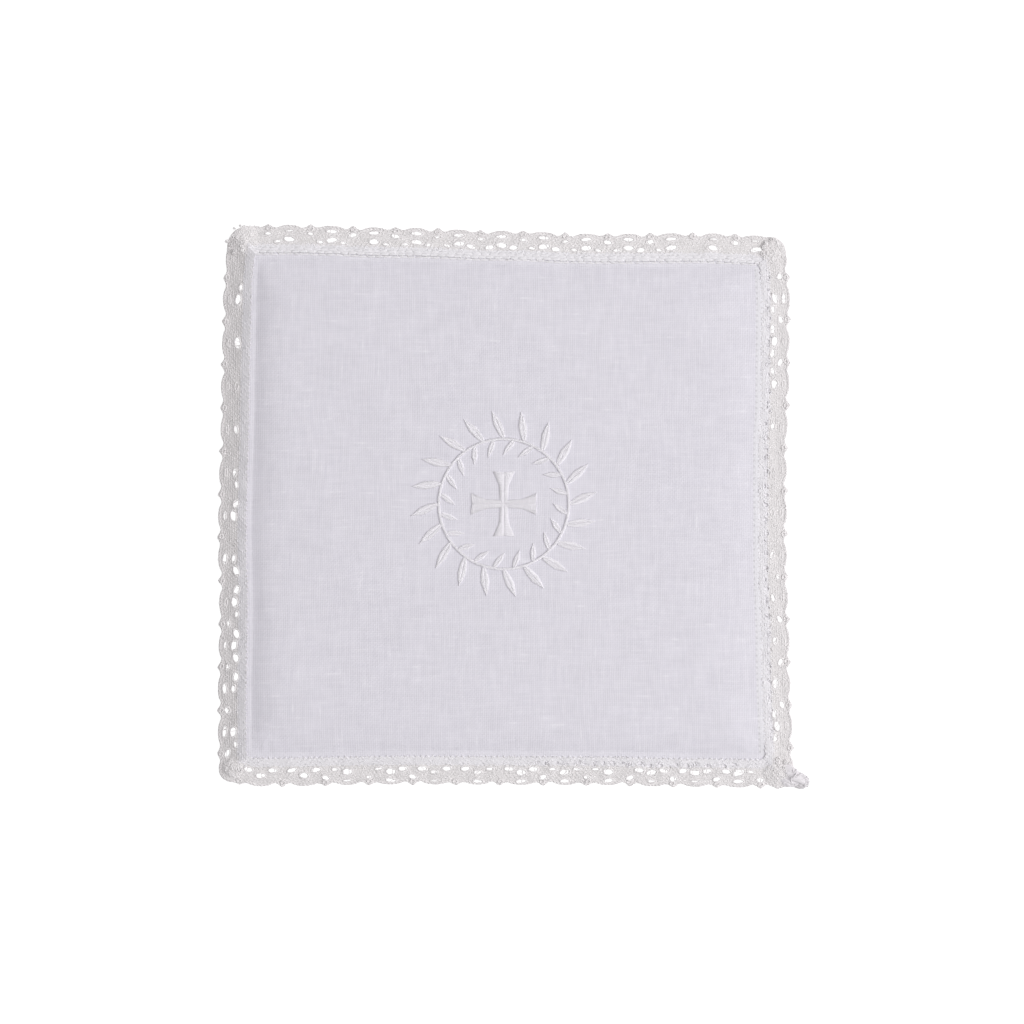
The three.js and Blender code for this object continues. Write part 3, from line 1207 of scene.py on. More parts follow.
@dataclass
class LinenPanel:
    """The square of linen: its seam trough, soft shoulder and flat middle, hemmed and closed below."""

    edge_back: float = 7.6
    half_width: float = 76.1
    half_length: float = 74.0
    corner: float = 2.4
    corner_growth: float = 0.35
    edge_band: float = 9.0
    edge_lines: int = 26
    edge_crowding: float = 1.3
    middle_lines: int = 118
    fold: float = 0.3
    flat_size: tuple[float, float] = (151.3, 147.7)
    section: tuple[SectionRow, ...] = (
        SectionRow(0.0, 0.3),
        SectionRow(0.06, 1.1),
        SectionRow(0.4, 1.2),
        SectionRow(0.8, 1.27),
        SectionRow(1.2, 1.3),
        SectionRow(1.6, 1.28),
        SectionRow(2.0, 1.26),
        SectionRow(2.4, 1.31),
        SectionRow(3.0, 1.45),
        SectionRow(3.8, 1.67),
        SectionRow(5.2, 2.0),
        SectionRow(7.4, 2.34),
        SectionRow(10.4, 2.56),
        SectionRow(12.9, 2.6),
    )
    right_stretch: float = 1.6
    right_depth: float = 0.65
    ripple_height: float = 0.09
    pucker_height: float = 0.06
    pucker_pitch: float = 3.6
    dent_middle: tuple[float, float] = (-67.3, -67.2)
    dent_depth: float = 0.3
    dent_reach: float = 2.6

    def spaced(self, share: np.ndarray, half: float) -> np.ndarray:
        """Places grid lines close together near the edge.

        Args:
            share: The lines' even places, −1 to 1.
            half: Half the panel's size.

        Returns:
            Where each line lies.
        """
        total = self.middle_lines + 2 * self.edge_lines
        knee = 1 - 2 * self.edge_lines / total
        inner = half - self.edge_band
        outer = np.clip((1 - abs(share)) / (1 - knee), 0, 1) ** self.edge_crowding
        placed = np.where(abs(share) > knee, half - self.edge_band * outer, abs(share) / knee * inner)
        return placed * np.sign(share)

    def rounded(self, u: np.ndarray, v: np.ndarray) -> tuple[np.ndarray, np.ndarray, np.ndarray]:
        """Rounds the corners of every line of equal distance from the edge.

        Args:
            u: Places across the plain rectangle.
            v: Places up it.

        Returns:
            The rounded places, and each point's distance from the edge.
        """
        inset = np.minimum(self.half_width - abs(u), self.half_length - abs(v))
        radius = self.corner + self.corner_growth * np.minimum(inset, self.edge_band)
        radius = np.minimum(radius, np.maximum(self.half_length - inset, 0.01))
        core_u = self.half_width - inset - radius
        core_v = self.half_length - inset - radius
        past_u = np.clip(abs(u) - core_u, 0, None)
        past_v = np.clip(abs(v) - core_v, 0, None)
        scale = radius / np.maximum(np.hypot(past_u, past_v), 1e-9)
        turned = (past_u > 0) & (past_v > 0)
        new_u = np.where(turned, core_u + past_u * scale, abs(u)) * np.sign(u)
        new_v = np.where(turned, core_v + past_v * scale, abs(v)) * np.sign(v)
        return new_u, new_v, inset

    def bowed(self, u: np.ndarray, v: np.ndarray) -> tuple[np.ndarray, np.ndarray]:
        """Bows the outline to the lace's crest lines.

        Args:
            u: Places across.
            v: Places up.

        Returns:
            The places on the real, uneven square.
        """
        bottom, right, top, left = SIDES
        reach_x = np.where(u > 0, right.crest_at(v), left.crest_at(-v)) - self.edge_back
        reach_y = np.where(v > 0, top.crest_at(-u), bottom.crest_at(u)) - self.edge_back
        pull_x = (abs(u) / self.half_width) ** 3
        pull_y = (abs(v) / self.half_length) ** 3
        x = u + np.sign(u) * pull_x * (reach_x - self.half_width)
        y = v + np.sign(v) * pull_y * (reach_y - self.half_length)
        return x, y

    def height(self, x: np.ndarray, y: np.ndarray, inset: np.ndarray) -> np.ndarray:
        """The top's height, with its puckers, ripples and the dent in one corner.

        Args:
            x: Places across.
            y: Places up.
            inset: Distances from the edge.

        Returns:
            The height of each point.
        """
        knots = np.array([(row.inset, row.z) for row in self.section])
        right = smooth(0.0, 8.0, (self.half_length - abs(y)) - (self.half_width - x))
        stretch = 1 + (self.right_stretch - 1) * right
        shown = np.where(inset > 2.0, 2.0 + (inset - 2.0) / stretch, inset)
        nudged = [np.maximum(shown + nudge, 0.06) for nudge in (-0.25, 0, 0.25)]
        z = sum(np.interp(place, knots[:, 0], knots[:, 1]) for place in nudged) / 3
        z = np.where(inset < 0.05, knots[0, 1], z)
        plateau = knots[-1, 1]
        share = 1 - (1 - self.right_depth) * right
        z = plateau - (plateau - z) * share
        off_middle = smooth(32, 60, np.hypot(x, y))
        z = z + self.ripple_height * ripple(x, y, 41, 1.7) * off_middle * smooth(3, 9, inset)
        run = np.where(abs(x) / self.half_width > abs(y) / self.half_length, y, x)
        beat = np.sin(run * 2 * math.pi / self.pucker_pitch + 2.2 * ripple(x, y, 23, 5.1))
        shoulder = smooth(1.6, 3.0, inset) * (1 - smooth(3.5, 8.0, inset))
        z = z + self.pucker_height * beat * shoulder * (0.6 + 0.4 * ripple(x, y, 17, 0.4))
        away = np.hypot((x - self.dent_middle[0]) / 1.5, y - self.dent_middle[1])
        return z - self.dent_depth * np.exp(-((away / self.dent_reach) ** 2))

    def cloth(self) -> bmesh.types.BMesh:
        """Models the panel: the top, its folded edge and the underside.

        Returns:
            The closed cloth, in millimetres.
        """
        bm = bmesh.new()
        lines = self.middle_lines + 2 * self.edge_lines
        bmesh.ops.create_grid(bm, x_segments=lines, y_segments=lines, size=1)
        even = np.array([v.co for v in bm.verts])
        u, v, inset = self.rounded(
            self.spaced(even[:, 0], self.half_width), self.spaced(even[:, 1], self.half_length)
        )
        x, y = self.bowed(u, v)
        top = np.stack([x, y, self.height(x, y, inset)], axis=1)
        layer = bm.loops.layers.uv.new("lay")
        for vert, co, pair in zip(bm.verts, top, np.column_stack([u, v])):
            vert.co = co
            for loop in vert.link_loops:
                loop[layer].uv = pair
        copy = bmesh.ops.duplicate(bm, geom=bm.verts[:] + bm.edges[:] + bm.faces[:])["geom"]
        under = [g for g in copy if isinstance(g, bmesh.types.BMVert)]
        turned = [g for g in copy if isinstance(g, bmesh.types.BMFace)]
        shrink = 1 - self.fold / self.half_width
        bmesh.ops.scale(bm, verts=under, vec=(shrink, shrink, 0))
        bmesh.ops.reverse_faces(bm, faces=turned)
        rims = [e for e in bm.edges if e.is_boundary]
        bmesh.ops.bridge_loops(bm, edges=rims)
        bmesh.ops.recalc_face_normals(bm, faces=bm.faces)
        return bm

    def build(self, finish: bpy.types.Material) -> bpy.types.Object:
        """Makes the panel's piece.

        Args:
            finish: The linen's material.

        Returns:
            The piece, which stands for its solid.
        """
        panel = set_piece("linen_cloth", mesh_of(self.cloth(), "linen_cloth"), finish)
        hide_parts("linen_panel")
        return panel


@dataclass(frozen=True)
class LeafRow:
    """One ring of leaves on the wreath's stem. lean is from the radius, and turn in leaves."""

    count: int
    root: float
    length: float
    width: float
    lean: float
    turn: float


@dataclass
class Embroidery:
    """A flared cross in a leaf wreath, worked in satin stitch over padding."""

    middle: tuple[float, float] = (-0.2, 1.2)
    face: float = 2.6
    raised: float = 0.35
    thread: float = 0.34
    pitch: float = 0.3
    stem_radius: float = 19.2
    stem_width: float = 0.9
    leaves: tuple[LeafRow, ...] = (
        LeafRow(count=20, root=19.5, length=8.6, width=2.5, lean=24, turn=0.0),
        LeafRow(count=20, root=18.9, length=5.2, width=1.7, lean=152, turn=0.5),
    )
    leaf_outline: tuple[tuple[float, float], ...] = (
        (0, 0.16),
        (0.22, 0.42),
        (0.5, 0.5),
        (0.8, 0.26),
        (1, 0),
    )
    cross_outline: tuple[tuple[float, float], ...] = ((1.2, 1.2), (5.4, 1.5), (9.4, 3.4))
    slant: float = 38.0
    cross_slant: float = 6.0
    stem_slant: float = 34.0
    stitch_rise: float = 0.42
    stitch_reach: float = 0.94
    stitch_height: float = 1.25
    stem_height: float = 1.5
    tip_length: float = 1.3
    tip_back: float = 0.55
    pad_steps: int = 8
    pad_lanes: int = 4
    pad_share: float = 0.55
    cross_heart: float = 0.3
    seed: int = 11
    stitches: Stitches = field(default_factory=lambda: Stitches(stitch_shape(sides=6, rings=5)))

    def work_row(
        self,
        angle: float,
        root: tuple[float, float],
        places: np.ndarray,
        halves: np.ndarray,
        slant: float,
        rng: np.random.Generator,
    ) -> None:
        """Works slanting stitches on both sides of a middle line.

        Args:
            angle: The line's direction, in radians.
            root: Where it starts.
            places: The stitches' places along it.
            halves: The shape's half width at each place.
            slant: The stitches' lean towards the tip, in radians.
            rng: Draws the small unevenness.
        """
        ahead = np.array([math.cos(angle), math.sin(angle)])
        for hand in (-1, 1):
            length = halves / math.cos(slant) + self.thread * 0.4
            turn = angle + hand * (math.pi / 2 - slant)
            reach = np.array([math.cos(turn), math.sin(turn)])
            flat = np.asarray(root) + ahead * places[:, None]
            flat = flat + reach * (length / 2 * self.stitch_reach)[:, None]
            flat = flat + rng.normal(0, 0.02, flat.shape)
            rise = self.raised * self.stitch_rise
            drop = np.arctan2(rise, np.maximum(length, 0.4))
            middles = np.column_stack([flat, np.full(len(flat), self.face + rise)])
            directions = np.column_stack([np.cos(drop) * reach[0], np.cos(drop) * reach[1], -np.sin(drop)])
            tone = rng.uniform(0.35, 0.95, len(flat))
            self.stitches.add(middles, directions, length, self.thread, tone, flat=self.stitch_height)

    def leaf_places(self, row: LeafRow) -> list[tuple[float, tuple[float, float]]]:
        """The direction in radians and the root of each leaf in a ring."""
        found = []
        for index in range(row.count):
            around = 2 * math.pi * (index + row.turn) / row.count
            x = self.middle[0] + row.root * math.cos(around)
            y = self.middle[1] + row.root * math.sin(around)
            found.append((around + math.radians(row.lean), (x, y)))
        return found

    def work_leaves(self, rng: np.random.Generator) -> None:
        """Works every leaf of the wreath.

        Args:
            rng: Draws the small unevenness.
        """
        outline = np.array(self.leaf_outline)
        for row in self.leaves:
            places = np.arange(0.1, row.length - self.tip_back, self.pitch)
            shares = (places + 0.5) / row.length
            halves = row.width * np.interp(shares, outline[:, 0], outline[:, 1])
            for angle, root in self.leaf_places(row):
                self.work_row(angle, root, places, halves, math.radians(self.slant), rng)
                self.work_tip(angle, root, row.length, rng)

    def work_tip(
        self, angle: float, root: tuple[float, float], length: float, rng: np.random.Generator
    ) -> None:
        """Works the tip of a leaf, one long stitch ending in a point.

        Args:
            angle: The leaf's direction, in radians.
            root: Where it starts.
            length: The leaf's length.
            rng: Draws the small unevenness.
        """
        ahead = np.array([[math.cos(angle), math.sin(angle), 0.0]])
        start = np.array([[root[0], root[1], self.face + 0.12]])
        tip = start + ahead * (length - self.tip_back)
        self.stitches.add(tip, ahead, self.tip_length, self.thread * 1.2, rng.uniform(0.5, 0.9))

    def work_stem(self, rng: np.random.Generator) -> None:
        """Works the wreath's stem, stitches slanting across a ring.

        Args:
            rng: Draws the small unevenness.
        """
        count = int(2 * math.pi * self.stem_radius / self.pitch)
        around = np.arange(count) * 2 * math.pi / count
        flat = np.column_stack([np.cos(around), np.sin(around)]) * self.stem_radius + self.middle
        flat = flat + rng.normal(0, 0.02, flat.shape)
        middles = np.column_stack([flat, np.full(count, self.face + self.raised * 0.5)])
        turn = around + math.radians(self.stem_slant)
        directions = np.column_stack([np.cos(turn), np.sin(turn), np.zeros(count)])
        tone = rng.uniform(0.35, 0.95, count)
        length = self.stem_width * 1.3
        self.stitches.add(middles, directions, length, self.thread, tone, flat=self.stem_height)

    def work_cross(self, rng: np.random.Generator) -> None:
        """Works the cross's four flared arms and its middle.

        Args:
            rng: Draws the small unevenness.
        """
        outline = np.array(self.cross_outline)
        places = np.arange(0.25, outline[-1, 0] - 0.1, self.pitch)
        halves = np.interp(places, outline[:, 0], outline[:, 1])
        halves = np.minimum(halves, places + 0.25)
        slant = math.radians(self.cross_slant)
        for arm in range(4):
            self.work_row(arm * math.pi / 2, self.middle, places, halves, slant, rng)

    def padding(self) -> bpy.types.Mesh:
        """The low pads under the stitches of the leaves and the cross's arms.

        Returns:
            One mesh of closed pads.
        """
        whole = bmesh.new()
        leaf = np.array(self.leaf_outline)
        for row in self.leaves:
            for angle, root in self.leaf_places(row):
                self.add_pad(whole, leaf * (row.length, row.width), angle, root)
        arm_outline = np.array(((0, self.cross_heart), *self.cross_outline))
        for arm in range(4):
            self.add_pad(whole, arm_outline, arm * math.pi / 2, self.middle)
        return mesh_of(whole, "embroidery_pads")

    def add_pad(
        self, whole: bmesh.types.BMesh, outline: np.ndarray, angle: float, root: tuple[float, float]
    ) -> None:
        """Adds one domed pad.

        Args:
            whole: What it is added to.
            outline: The pad's half width at places along it.
            angle: The direction that it points in, in radians.
            root: Where it starts.
        """
        whole.verts.ensure_lookup_table()
        first = len(whole.verts)
        grid = bmesh.ops.create_grid(
            whole, x_segments=self.pad_steps, y_segments=self.pad_lanes, size=1
        )["verts"]
        start, stop = outline[0, 0], outline[-1, 0]
        for vert in grid:
            along = start + (stop - start) * (vert.co.x + 1) / 2
            half = float(np.interp(along, outline[:, 0], outline[:, 1])) * 0.92 + 0.02
            dome = 1 - vert.co.y**2
            vert.co = (along, vert.co.y * half, self.face + self.raised * self.pad_share * dome)
        faces = list(dict.fromkeys(f for v in grid for f in v.link_faces))
        low = bmesh.ops.extrude_face_region(whole, geom=faces, use_keep_orig=True)["geom"]
        for vert in (g for g in low if isinstance(g, bmesh.types.BMVert)):
            vert.co.z = self.face - 0.1
        whole.verts.ensure_lookup_table()
        fresh = whole.verts[first:]
        bmesh.ops.rotate(whole, verts=fresh, matrix=Matrix.Rotation(angle, 3, "Z"))
        bmesh.ops.translate(whole, verts=fresh, vec=(*root, 0))
        pad_faces = list(dict.fromkeys(f for v in fresh for f in v.link_faces))
        bmesh.ops.recalc_face_normals(whole, faces=pad_faces)

    def build(self, finish: bpy.types.Material) -> list[bpy.types.Object]:
        """Makes the embroidery's pieces.

        Args:
            finish: The thread's material.

        Returns:
            The pads and the stitches.
        """
        rng = np.random.default_rng(self.seed)
        self.work_leaves(rng)
        self.work_stem(rng)
        self.work_cross(rng)
        pads = set_piece("embroidery_pads", self.padding(), finish)
        worked = self.stitches.mesh("embroidery_stitches")
        return [pads, set_piece("embroidery_stitches", worked, finish)]


@dataclass(frozen=True)
class Gather:
    """A low mound where the lace turns a corner."""

    radius: float
    height: float


@dataclass(frozen=True)
class LoopRow:
    """One row of looped yarn: its distance from the crest line, and its loops' half height and length."""

    inward: float
    half: float
    period: float


@dataclass(frozen=True)
class DashRow:
    """One row of long stitches along the lace."""

    inward: float
    length: float
    thick: float
    pitch: float


@dataclass
class LaceEdging:
    """The crochet lace: a thin web with looped rows, rims, cord, heading and gathers worked on it."""

    width: float = 7.95
    web_thick: float = 0.35
    web_rise: float = 0.1
    crest_height: float = 0.5
    web_cell: float = 0.55
    heading_from: float = 5.4
    heading_swell: float = 0.07
    heading_ease: float = 0.6
    pit_depth: float = 0.6
    loop_points: int = 7
    loop_overhang: float = 0.9
    loop_rise: float = 0.07
    gap_margin: float = 0.12
    field_yarn: float = 0.37
    heading_yarn: float = 0.44
    field_rows: tuple[LoopRow, ...] = (
        LoopRow(inward=1.05, half=0.38, period=1.25),
        LoopRow(inward=1.72, half=0.40, period=1.35),
        LoopRow(inward=2.40, half=0.40, period=1.25),
        LoopRow(inward=3.08, half=0.40, period=1.30),
        LoopRow(inward=3.76, half=0.40, period=1.22),
        LoopRow(inward=4.44, half=0.40, period=1.33),
        LoopRow(inward=5.10, half=0.38, period=1.28),
    )
    post_rows: tuple[LoopRow, ...] = (
        LoopRow(inward=5.80, half=0.42, period=1.45),
        LoopRow(inward=6.45, half=0.42, period=1.55),
        LoopRow(inward=7.10, half=0.42, period=1.40),
        LoopRow(inward=7.70, half=0.36, period=1.50),
    )
    dash_posts: tuple[LoopRow, ...] = (
        LoopRow(inward=5.75, half=0.42, period=1.45),
        LoopRow(inward=6.35, half=0.36, period=1.55),
    )
    dash_rows: tuple[DashRow, ...] = (
        DashRow(inward=6.75, length=2.75, thick=0.92, pitch=2.5),
        DashRow(inward=7.62, length=2.65, thick=0.92, pitch=2.4),
        DashRow(inward=8.38, length=2.65, thick=0.66, pitch=2.4),
    )
    dash_flat: float = 0.42
    dash_rise: float = 0.13
    edge_cord: float = 0.74
    cord_sink: float = 0.03
    cord_turn: float = 2.1
    cord_places: int = 1600
    cord_step: float = 0.28
    rim_thick: float = 0.42
    rim_out: float = 0.16
    rim_narrowing: float = 0.09
    rim_step: float = 0.3
    rim_rise: float = 0.1
    picot_inward: float = 0.75
    picot_half: tuple[float, float] = (0.7, 0.5)
    picot_rise: float = 0.24
    picot_clear: float = 6.0
    knot_count: int = 32
    knot_points: int = 8
    knot_radius: float = 0.42
    knot_thick: float = 0.85
    knot_spread: float = 1.15
    stray_share: float = 0.4
    stray_from: float = 1.2
    fibre_pitch: float = 0.7
    fibre_thick: float = 0.05
    seam_pitch: float = 1.74
    seam_thick: float = 0.22
    seam_rise: float = 0.18
    seam_lowest: float = 1.38
    gathers: tuple[Gather, ...] = (
        Gather(radius=3.9, height=1.7),
        Gather(radius=3.2, height=1.7),
        Gather(radius=4.2, height=2.1),
        Gather(radius=2.3, height=1.6),
    )
    gather_base: float = 1.15
    gather_inset: float = 4.2
    corner_blend: tuple[float, float] = (-2.0, 12.0)
    wave_height: float = 0.08
    flat_size: tuple[float, float] = (10.0, 660.0)
    seed: int = 5

    def lift(self, along: np.ndarray, inward: np.ndarray, strip: Strip) -> np.ndarray:
        """The height of the lace's middle layer: it slopes down from the seam, and mounds at corners.

        Args:
            along: Places along the side.
            inward: Distances from the crest line.
            strip: The strip.

        Returns:
            The height of each point.
        """
        round_low = smooth(*self.corner_blend, along - strip.start)
        round_high = smooth(*self.corner_blend, strip.end - along)
        seam = (strip.before.rise + strip.side.rise) / 2 * (1 - round_low) + strip.side.rise * round_low
        ahead = (strip.after.rise + strip.side.rise) / 2
        seam = seam * round_high + ahead * (1 - round_high)
        base = self.crest_height + (seam - self.crest_height) * smooth(0.0, self.width + 0.6, inward)
        base = base + self.wave_height * ripple(along, inward * 1.5, 9.0, 2.0 + strip.side.first)
        index = SIDES.index(strip.side)
        for corner, gather in ((strip.end, self.gathers[index]), (strip.start, self.gathers[index - 1])):
            away = np.hypot(along - corner + math.copysign(self.width / 2, corner), inward - self.width / 2)
            mound = np.clip(1 - (away / (gather.radius * 1.25)) ** 2, 0, 1)
            base = base + mound * (gather.height - self.gather_base)
        return base

    def web_part(self, strip: Strip) -> bmesh.types.BMesh:
        """The web of one strip: a grid with its gaps cut, laid on the strip and made thick.

        Args:
            strip: The strip.

        Returns:
            The closed web, in millimetres.
        """
        part = bmesh.new()
        steps = int((strip.end - strip.start) / self.web_cell)
        rows = int(self.width / self.web_cell)
        bmesh.ops.create_grid(part, x_segments=steps, y_segments=rows, size=0.5)
        for face in part.faces:
            deep = (face.calc_center_median().y + 0.5) * self.width
            face.material_index = int(deep > self.heading_from)
        shares = np.array([v.co for v in part.verts]) + 0.5
        along, inward = strip.lay(shares[:, 0], shares[:, 1])
        self.cut_gaps(part, strip, along, inward)
        height = self.lift(along, inward, strip) + self.web_rise
        swell = smooth(self.heading_from, self.heading_from + self.heading_ease, inward)
        height = height + self.heading_swell * swell
        for pit in strip.side.small_pits():
            height = height - self.pit_depth * np.clip(1.4 - pit.spread(along, inward), 0, 1)
        for vert, co in zip(part.verts, strip.side.place(along, inward, height)):
            vert.co = co
        loose = [v for v in part.verts if not v.link_faces]
        bmesh.ops.delete(part, geom=loose, context="VERTS")
        low = bmesh.ops.extrude_face_region(part, geom=part.faces[:], use_keep_orig=True)["geom"]
        low = [g for g in low if isinstance(g, bmesh.types.BMVert)]
        bmesh.ops.translate(part, verts=low, vec=(0, 0, -self.web_thick))
        bmesh.ops.recalc_face_normals(part, faces=part.faces)
        return part

    def web(self, strips: Sequence[Strip]) -> tuple[bmesh.types.BMesh, np.ndarray]:
        """The thin layer that closes the lace between its stitches.

        Args:
            strips: The four strips.

        Returns:
            The web, in millimetres, and the tone of its points, its side's painted light and shade.
        """
        bm = bmesh.new()
        tones = []
        for strip in strips:
            part = self.web_part(strip)
            # Each strip's web gets its side's painted light and shade.
            tones.append(np.full(len(part.verts), 0.5 + strip.side.tone))
            mesh = bpy.data.meshes.new("strip")
            part.to_mesh(mesh)
            part.free()
            bm.from_mesh(mesh)
            bpy.data.meshes.remove(mesh)
        return bm, np.concatenate(tones)

    def cut_gaps(
        self, part: bmesh.types.BMesh, strip: Strip, along: np.ndarray, inward: np.ndarray
    ) -> None:
        """Takes the faces out of each open gap and draws what is left to its rim.

        Args:
            part: The strip's grid.
            strip: The strip.
            along: Each point's place along the side, changed where a rim is drawn.
            inward: Each point's distance from the crest line, changed likewise.
        """
        part.verts.index_update()
        part.verts.ensure_lookup_table()
        faces = np.array([[v.index for v in f.verts] for f in part.faces])
        middle_along, middle_inward = along[faces].mean(axis=1), inward[faces].mean(axis=1)
        doomed = np.zeros(len(faces), bool)
        for gap in strip.side.gaps():
            if gap.openness is Openness.CLOSED:
                continue
            inside = gap.spread(middle_along, middle_inward) < 1
            doomed |= inside
            ring = np.unique(faces[inside])
            spread = gap.spread(along[ring], inward[ring])
            ring = ring[spread > 0.45]
            spread = spread[spread > 0.45]
            along[ring] = gap.along + (along[ring] - gap.along) / spread
            inward[ring] = gap.inward + (inward[ring] - gap.inward) / spread
        part.faces.ensure_lookup_table()
        bmesh.ops.delete(part, geom=[part.faces[i] for i in np.flatnonzero(doomed)], context="FACES_ONLY")

    def bent(self, strip: Strip, along: np.ndarray, inward: np.ndarray) -> tuple[np.ndarray, np.ndarray]:
        """Moves a yarn's points out of every gap, so that it runs round the rims.

        Args:
            strip: The strip.
            along: The points' places along the side.
            inward: Their distances from the crest line.

        Returns:
            The new places and distances.
        """
        for gap in strip.side.gaps() + strip.side.small_pits():
            spread = np.maximum(gap.spread(along, inward, self.gap_margin), 0.06)
            push = np.cbrt(spread**3 + 1) / spread
            along = gap.along + (along - gap.along) * push
            inward = gap.inward + (inward - gap.inward) * push
        return along, inward

    def looped(self, strip: Strip, row: LoopRow, rng: np.random.Generator) -> np.ndarray:
        """One row of loops from mitre to mitre.

        Args:
            strip: The strip.
            row: The row.
            rng: Draws the loops' unevenness.

        Returns:
            The yarn's points, each with its share of the thickness.
        """
        low, high = strip.ends(np.full(1, row.inward))
        loops = round(float(high[0] - low[0]) / row.period)
        run = np.linspace(0, 1, loops * self.loop_points + 1)
        knots = np.linspace(0, 1, loops * 2)
        slip, tall, high_or_low = (np.interp(run, knots, rng.normal(0, 1, loops * 2)) for _ in range(3))
        phase = 2 * math.pi * loops * run + 0.5 * slip
        along = low + (high - low) * run
        follow = np.clip(1 - (row.inward - 0.9) / 2.4, 0, 1)
        inward = row.inward + follow * strip.edge(along)
        along = along + self.loop_overhang * row.period / (2 * math.pi) * np.sin(2 * phase)
        inward = inward + row.half * (1 + 0.22 * tall) * np.cos(phase)
        along, inward = self.bent(strip, along, inward)
        height = self.lift(along, inward, strip) + self.loop_rise * np.cos(2 * phase) + 0.04 * high_or_low
        return np.column_stack([strip.side.place(along, inward, height), 1 + 0.08 * tall])

    def rims(self, strip: Strip, rng: np.random.Generator) -> list[np.ndarray]:
        """The yarn round every gap of a strip, and the ring at the tip of each narrow scallop.

        Args:
            strip: The strip.
            rng: Draws their unevenness.

        Returns:
            One closed path a ring.
        """
        side = strip.side
        rings = []
        for gap in side.gaps():
            grown = self.rim_out - self.rim_narrowing * gap.half_long
            half = (gap.half_long + grown, gap.half_deep + grown)
            rings.append((gap.along, gap.inward, *half, gap.skew, self.rim_rise))
        for repeat in range(-1, len(side.main) + 1):
            middle = side.first + (repeat + 0.5) * side.pitch + rng.normal(0, 0.15)
            if abs(middle) < strip.end - self.picot_clear:
                rings.append((middle, self.picot_inward, *self.picot_half, 0.0, self.picot_rise))
        paths = []
        for middle, deep_at, half_long, half_deep, skew, rise in rings:
            count = max(8, round(math.pi * (half_long + half_deep) / self.rim_step))
            turn = 2 * math.pi * (np.arange(count) + rng.uniform(0, 1)) / count
            reach = 1 + rng.normal(0, 0.04, count) + 0.06 * np.sin(2 * turn + middle)
            deep = half_deep * reach * np.sin(turn)
            along = middle + half_long * reach * np.cos(turn) + skew * deep
            inward = np.maximum(deep_at + deep, strip.edge(along) + 0.25)
            height = self.lift(along, inward, strip) + rise + 0.06 * np.sin(turn * round(count / 3))
            shares = rng.uniform(0.85, 1.15, count)
            paths.append(np.column_stack([side.place(along, inward, height), shares]))
        return paths

    def knots(self, strip: Strip, rng: np.random.Generator) -> list[np.ndarray]:
        """The knots that thicken the gathers at the strip's last corner.

        Args:
            strip: The strip.
            rng: Draws their places.

        Returns:
            One closed path a knot.
        """
        gather = self.gathers[SIDES.index(strip.side)]
        paths = []
        for _ in range(self.knot_count):
            away = gather.radius * self.knot_spread * math.sqrt(rng.uniform(0, 1))
            around = rng.uniform(0, 2 * math.pi)
            along = strip.end - self.gather_inset + away * math.cos(around)
            inward = self.gather_inset + away * math.sin(around)
            turn = 2 * math.pi * np.arange(self.knot_points) / self.knot_points
            size = self.knot_radius * rng.uniform(0.75, 1.2)
            ring_along = along + size * np.cos(turn)
            ring_inward = inward + size * rng.uniform(0.6, 1.0) * np.sin(turn)
            tilt = 0.1 * np.sin(turn + rng.uniform(0, 6))
            height = self.lift(ring_along, ring_inward, strip) + 0.08 + tilt
            shares = np.full(self.knot_points, self.knot_thick)
            paths.append(np.column_stack([strip.side.place(ring_along, ring_inward, height), shares]))
        return paths

    def work_strays(self, strip: Strip, stitches: Stitches, rng: np.random.Generator) -> None:
        """Lays thin threads across some of the wide gaps.

        Args:
            strip: The strip.
            stitches: What the threads are added to.
            rng: Draws which gaps have them.
        """
        for gap in strip.side.gaps():
            wide = gap.openness is not Openness.CLOSED and gap.half_long > self.stray_from
            if wide and rng.random() < self.stray_share:
                self.work_stray(strip, gap, stitches, rng)

    def work_stray(self, strip: Strip, gap: Gap, stitches: Stitches, rng: np.random.Generator) -> None:
        """Lays one or two thin threads across a gap.

        Args:
            strip: The strip.
            gap: The gap.
            stitches: What the threads are added to.
            rng: Draws their places.
        """
        count = rng.integers(1, 3)
        angle = rng.uniform(0, math.pi, count)
        reach = 1 / np.hypot(np.cos(angle) / gap.half_long, np.sin(angle) / gap.half_deep)
        along = gap.along + rng.normal(0, gap.half_long * 0.25, count)
        inward = gap.inward + rng.normal(0, gap.half_deep * 0.2, count)
        stitches.add(
            strip.side.place(along, inward, self.lift(along, inward, strip) - 0.05),
            strip.side.directions(angle, 0.0),
            reach * 2 + 0.3,
            rng.uniform(0.1, 0.2, count),
            rng.uniform(0.6, 1.0, count),
        )

    def work_dashes(self, strip: Strip, stitches: Stitches, rng: np.random.Generator) -> None:
        """Works the rows of long sewing on a heading that has them.

        Args:
            strip: The strip.
            stitches: What the stitches are added to.
            rng: Draws the unevenness.
        """
        for number, row in enumerate(self.dash_rows):
            low, high = strip.ends(np.full(1, row.inward))
            along = np.arange(low[0], high[0], row.pitch) + 0.4 * row.pitch * number
            along = along + rng.normal(0, 0.08, along.shape)
            inward = row.inward + rng.normal(0, 0.05, along.shape)
            keep = strip.holds(along, inward, 0.3)
            along, inward = along[keep], inward[keep]
            count = len(along)
            stitches.add(
                strip.side.place(along, inward, self.lift(along, inward, strip) + self.dash_rise),
                strip.side.directions(rng.normal(0, 0.02, count), rng.normal(0, 0.01, count)),
                row.length * rng.uniform(0.94, 1.06, count),
                row.thick * rng.uniform(0.94, 1.06, count),
                rng.uniform(0.6, 0.9, count),
                flat=self.dash_flat,
            )

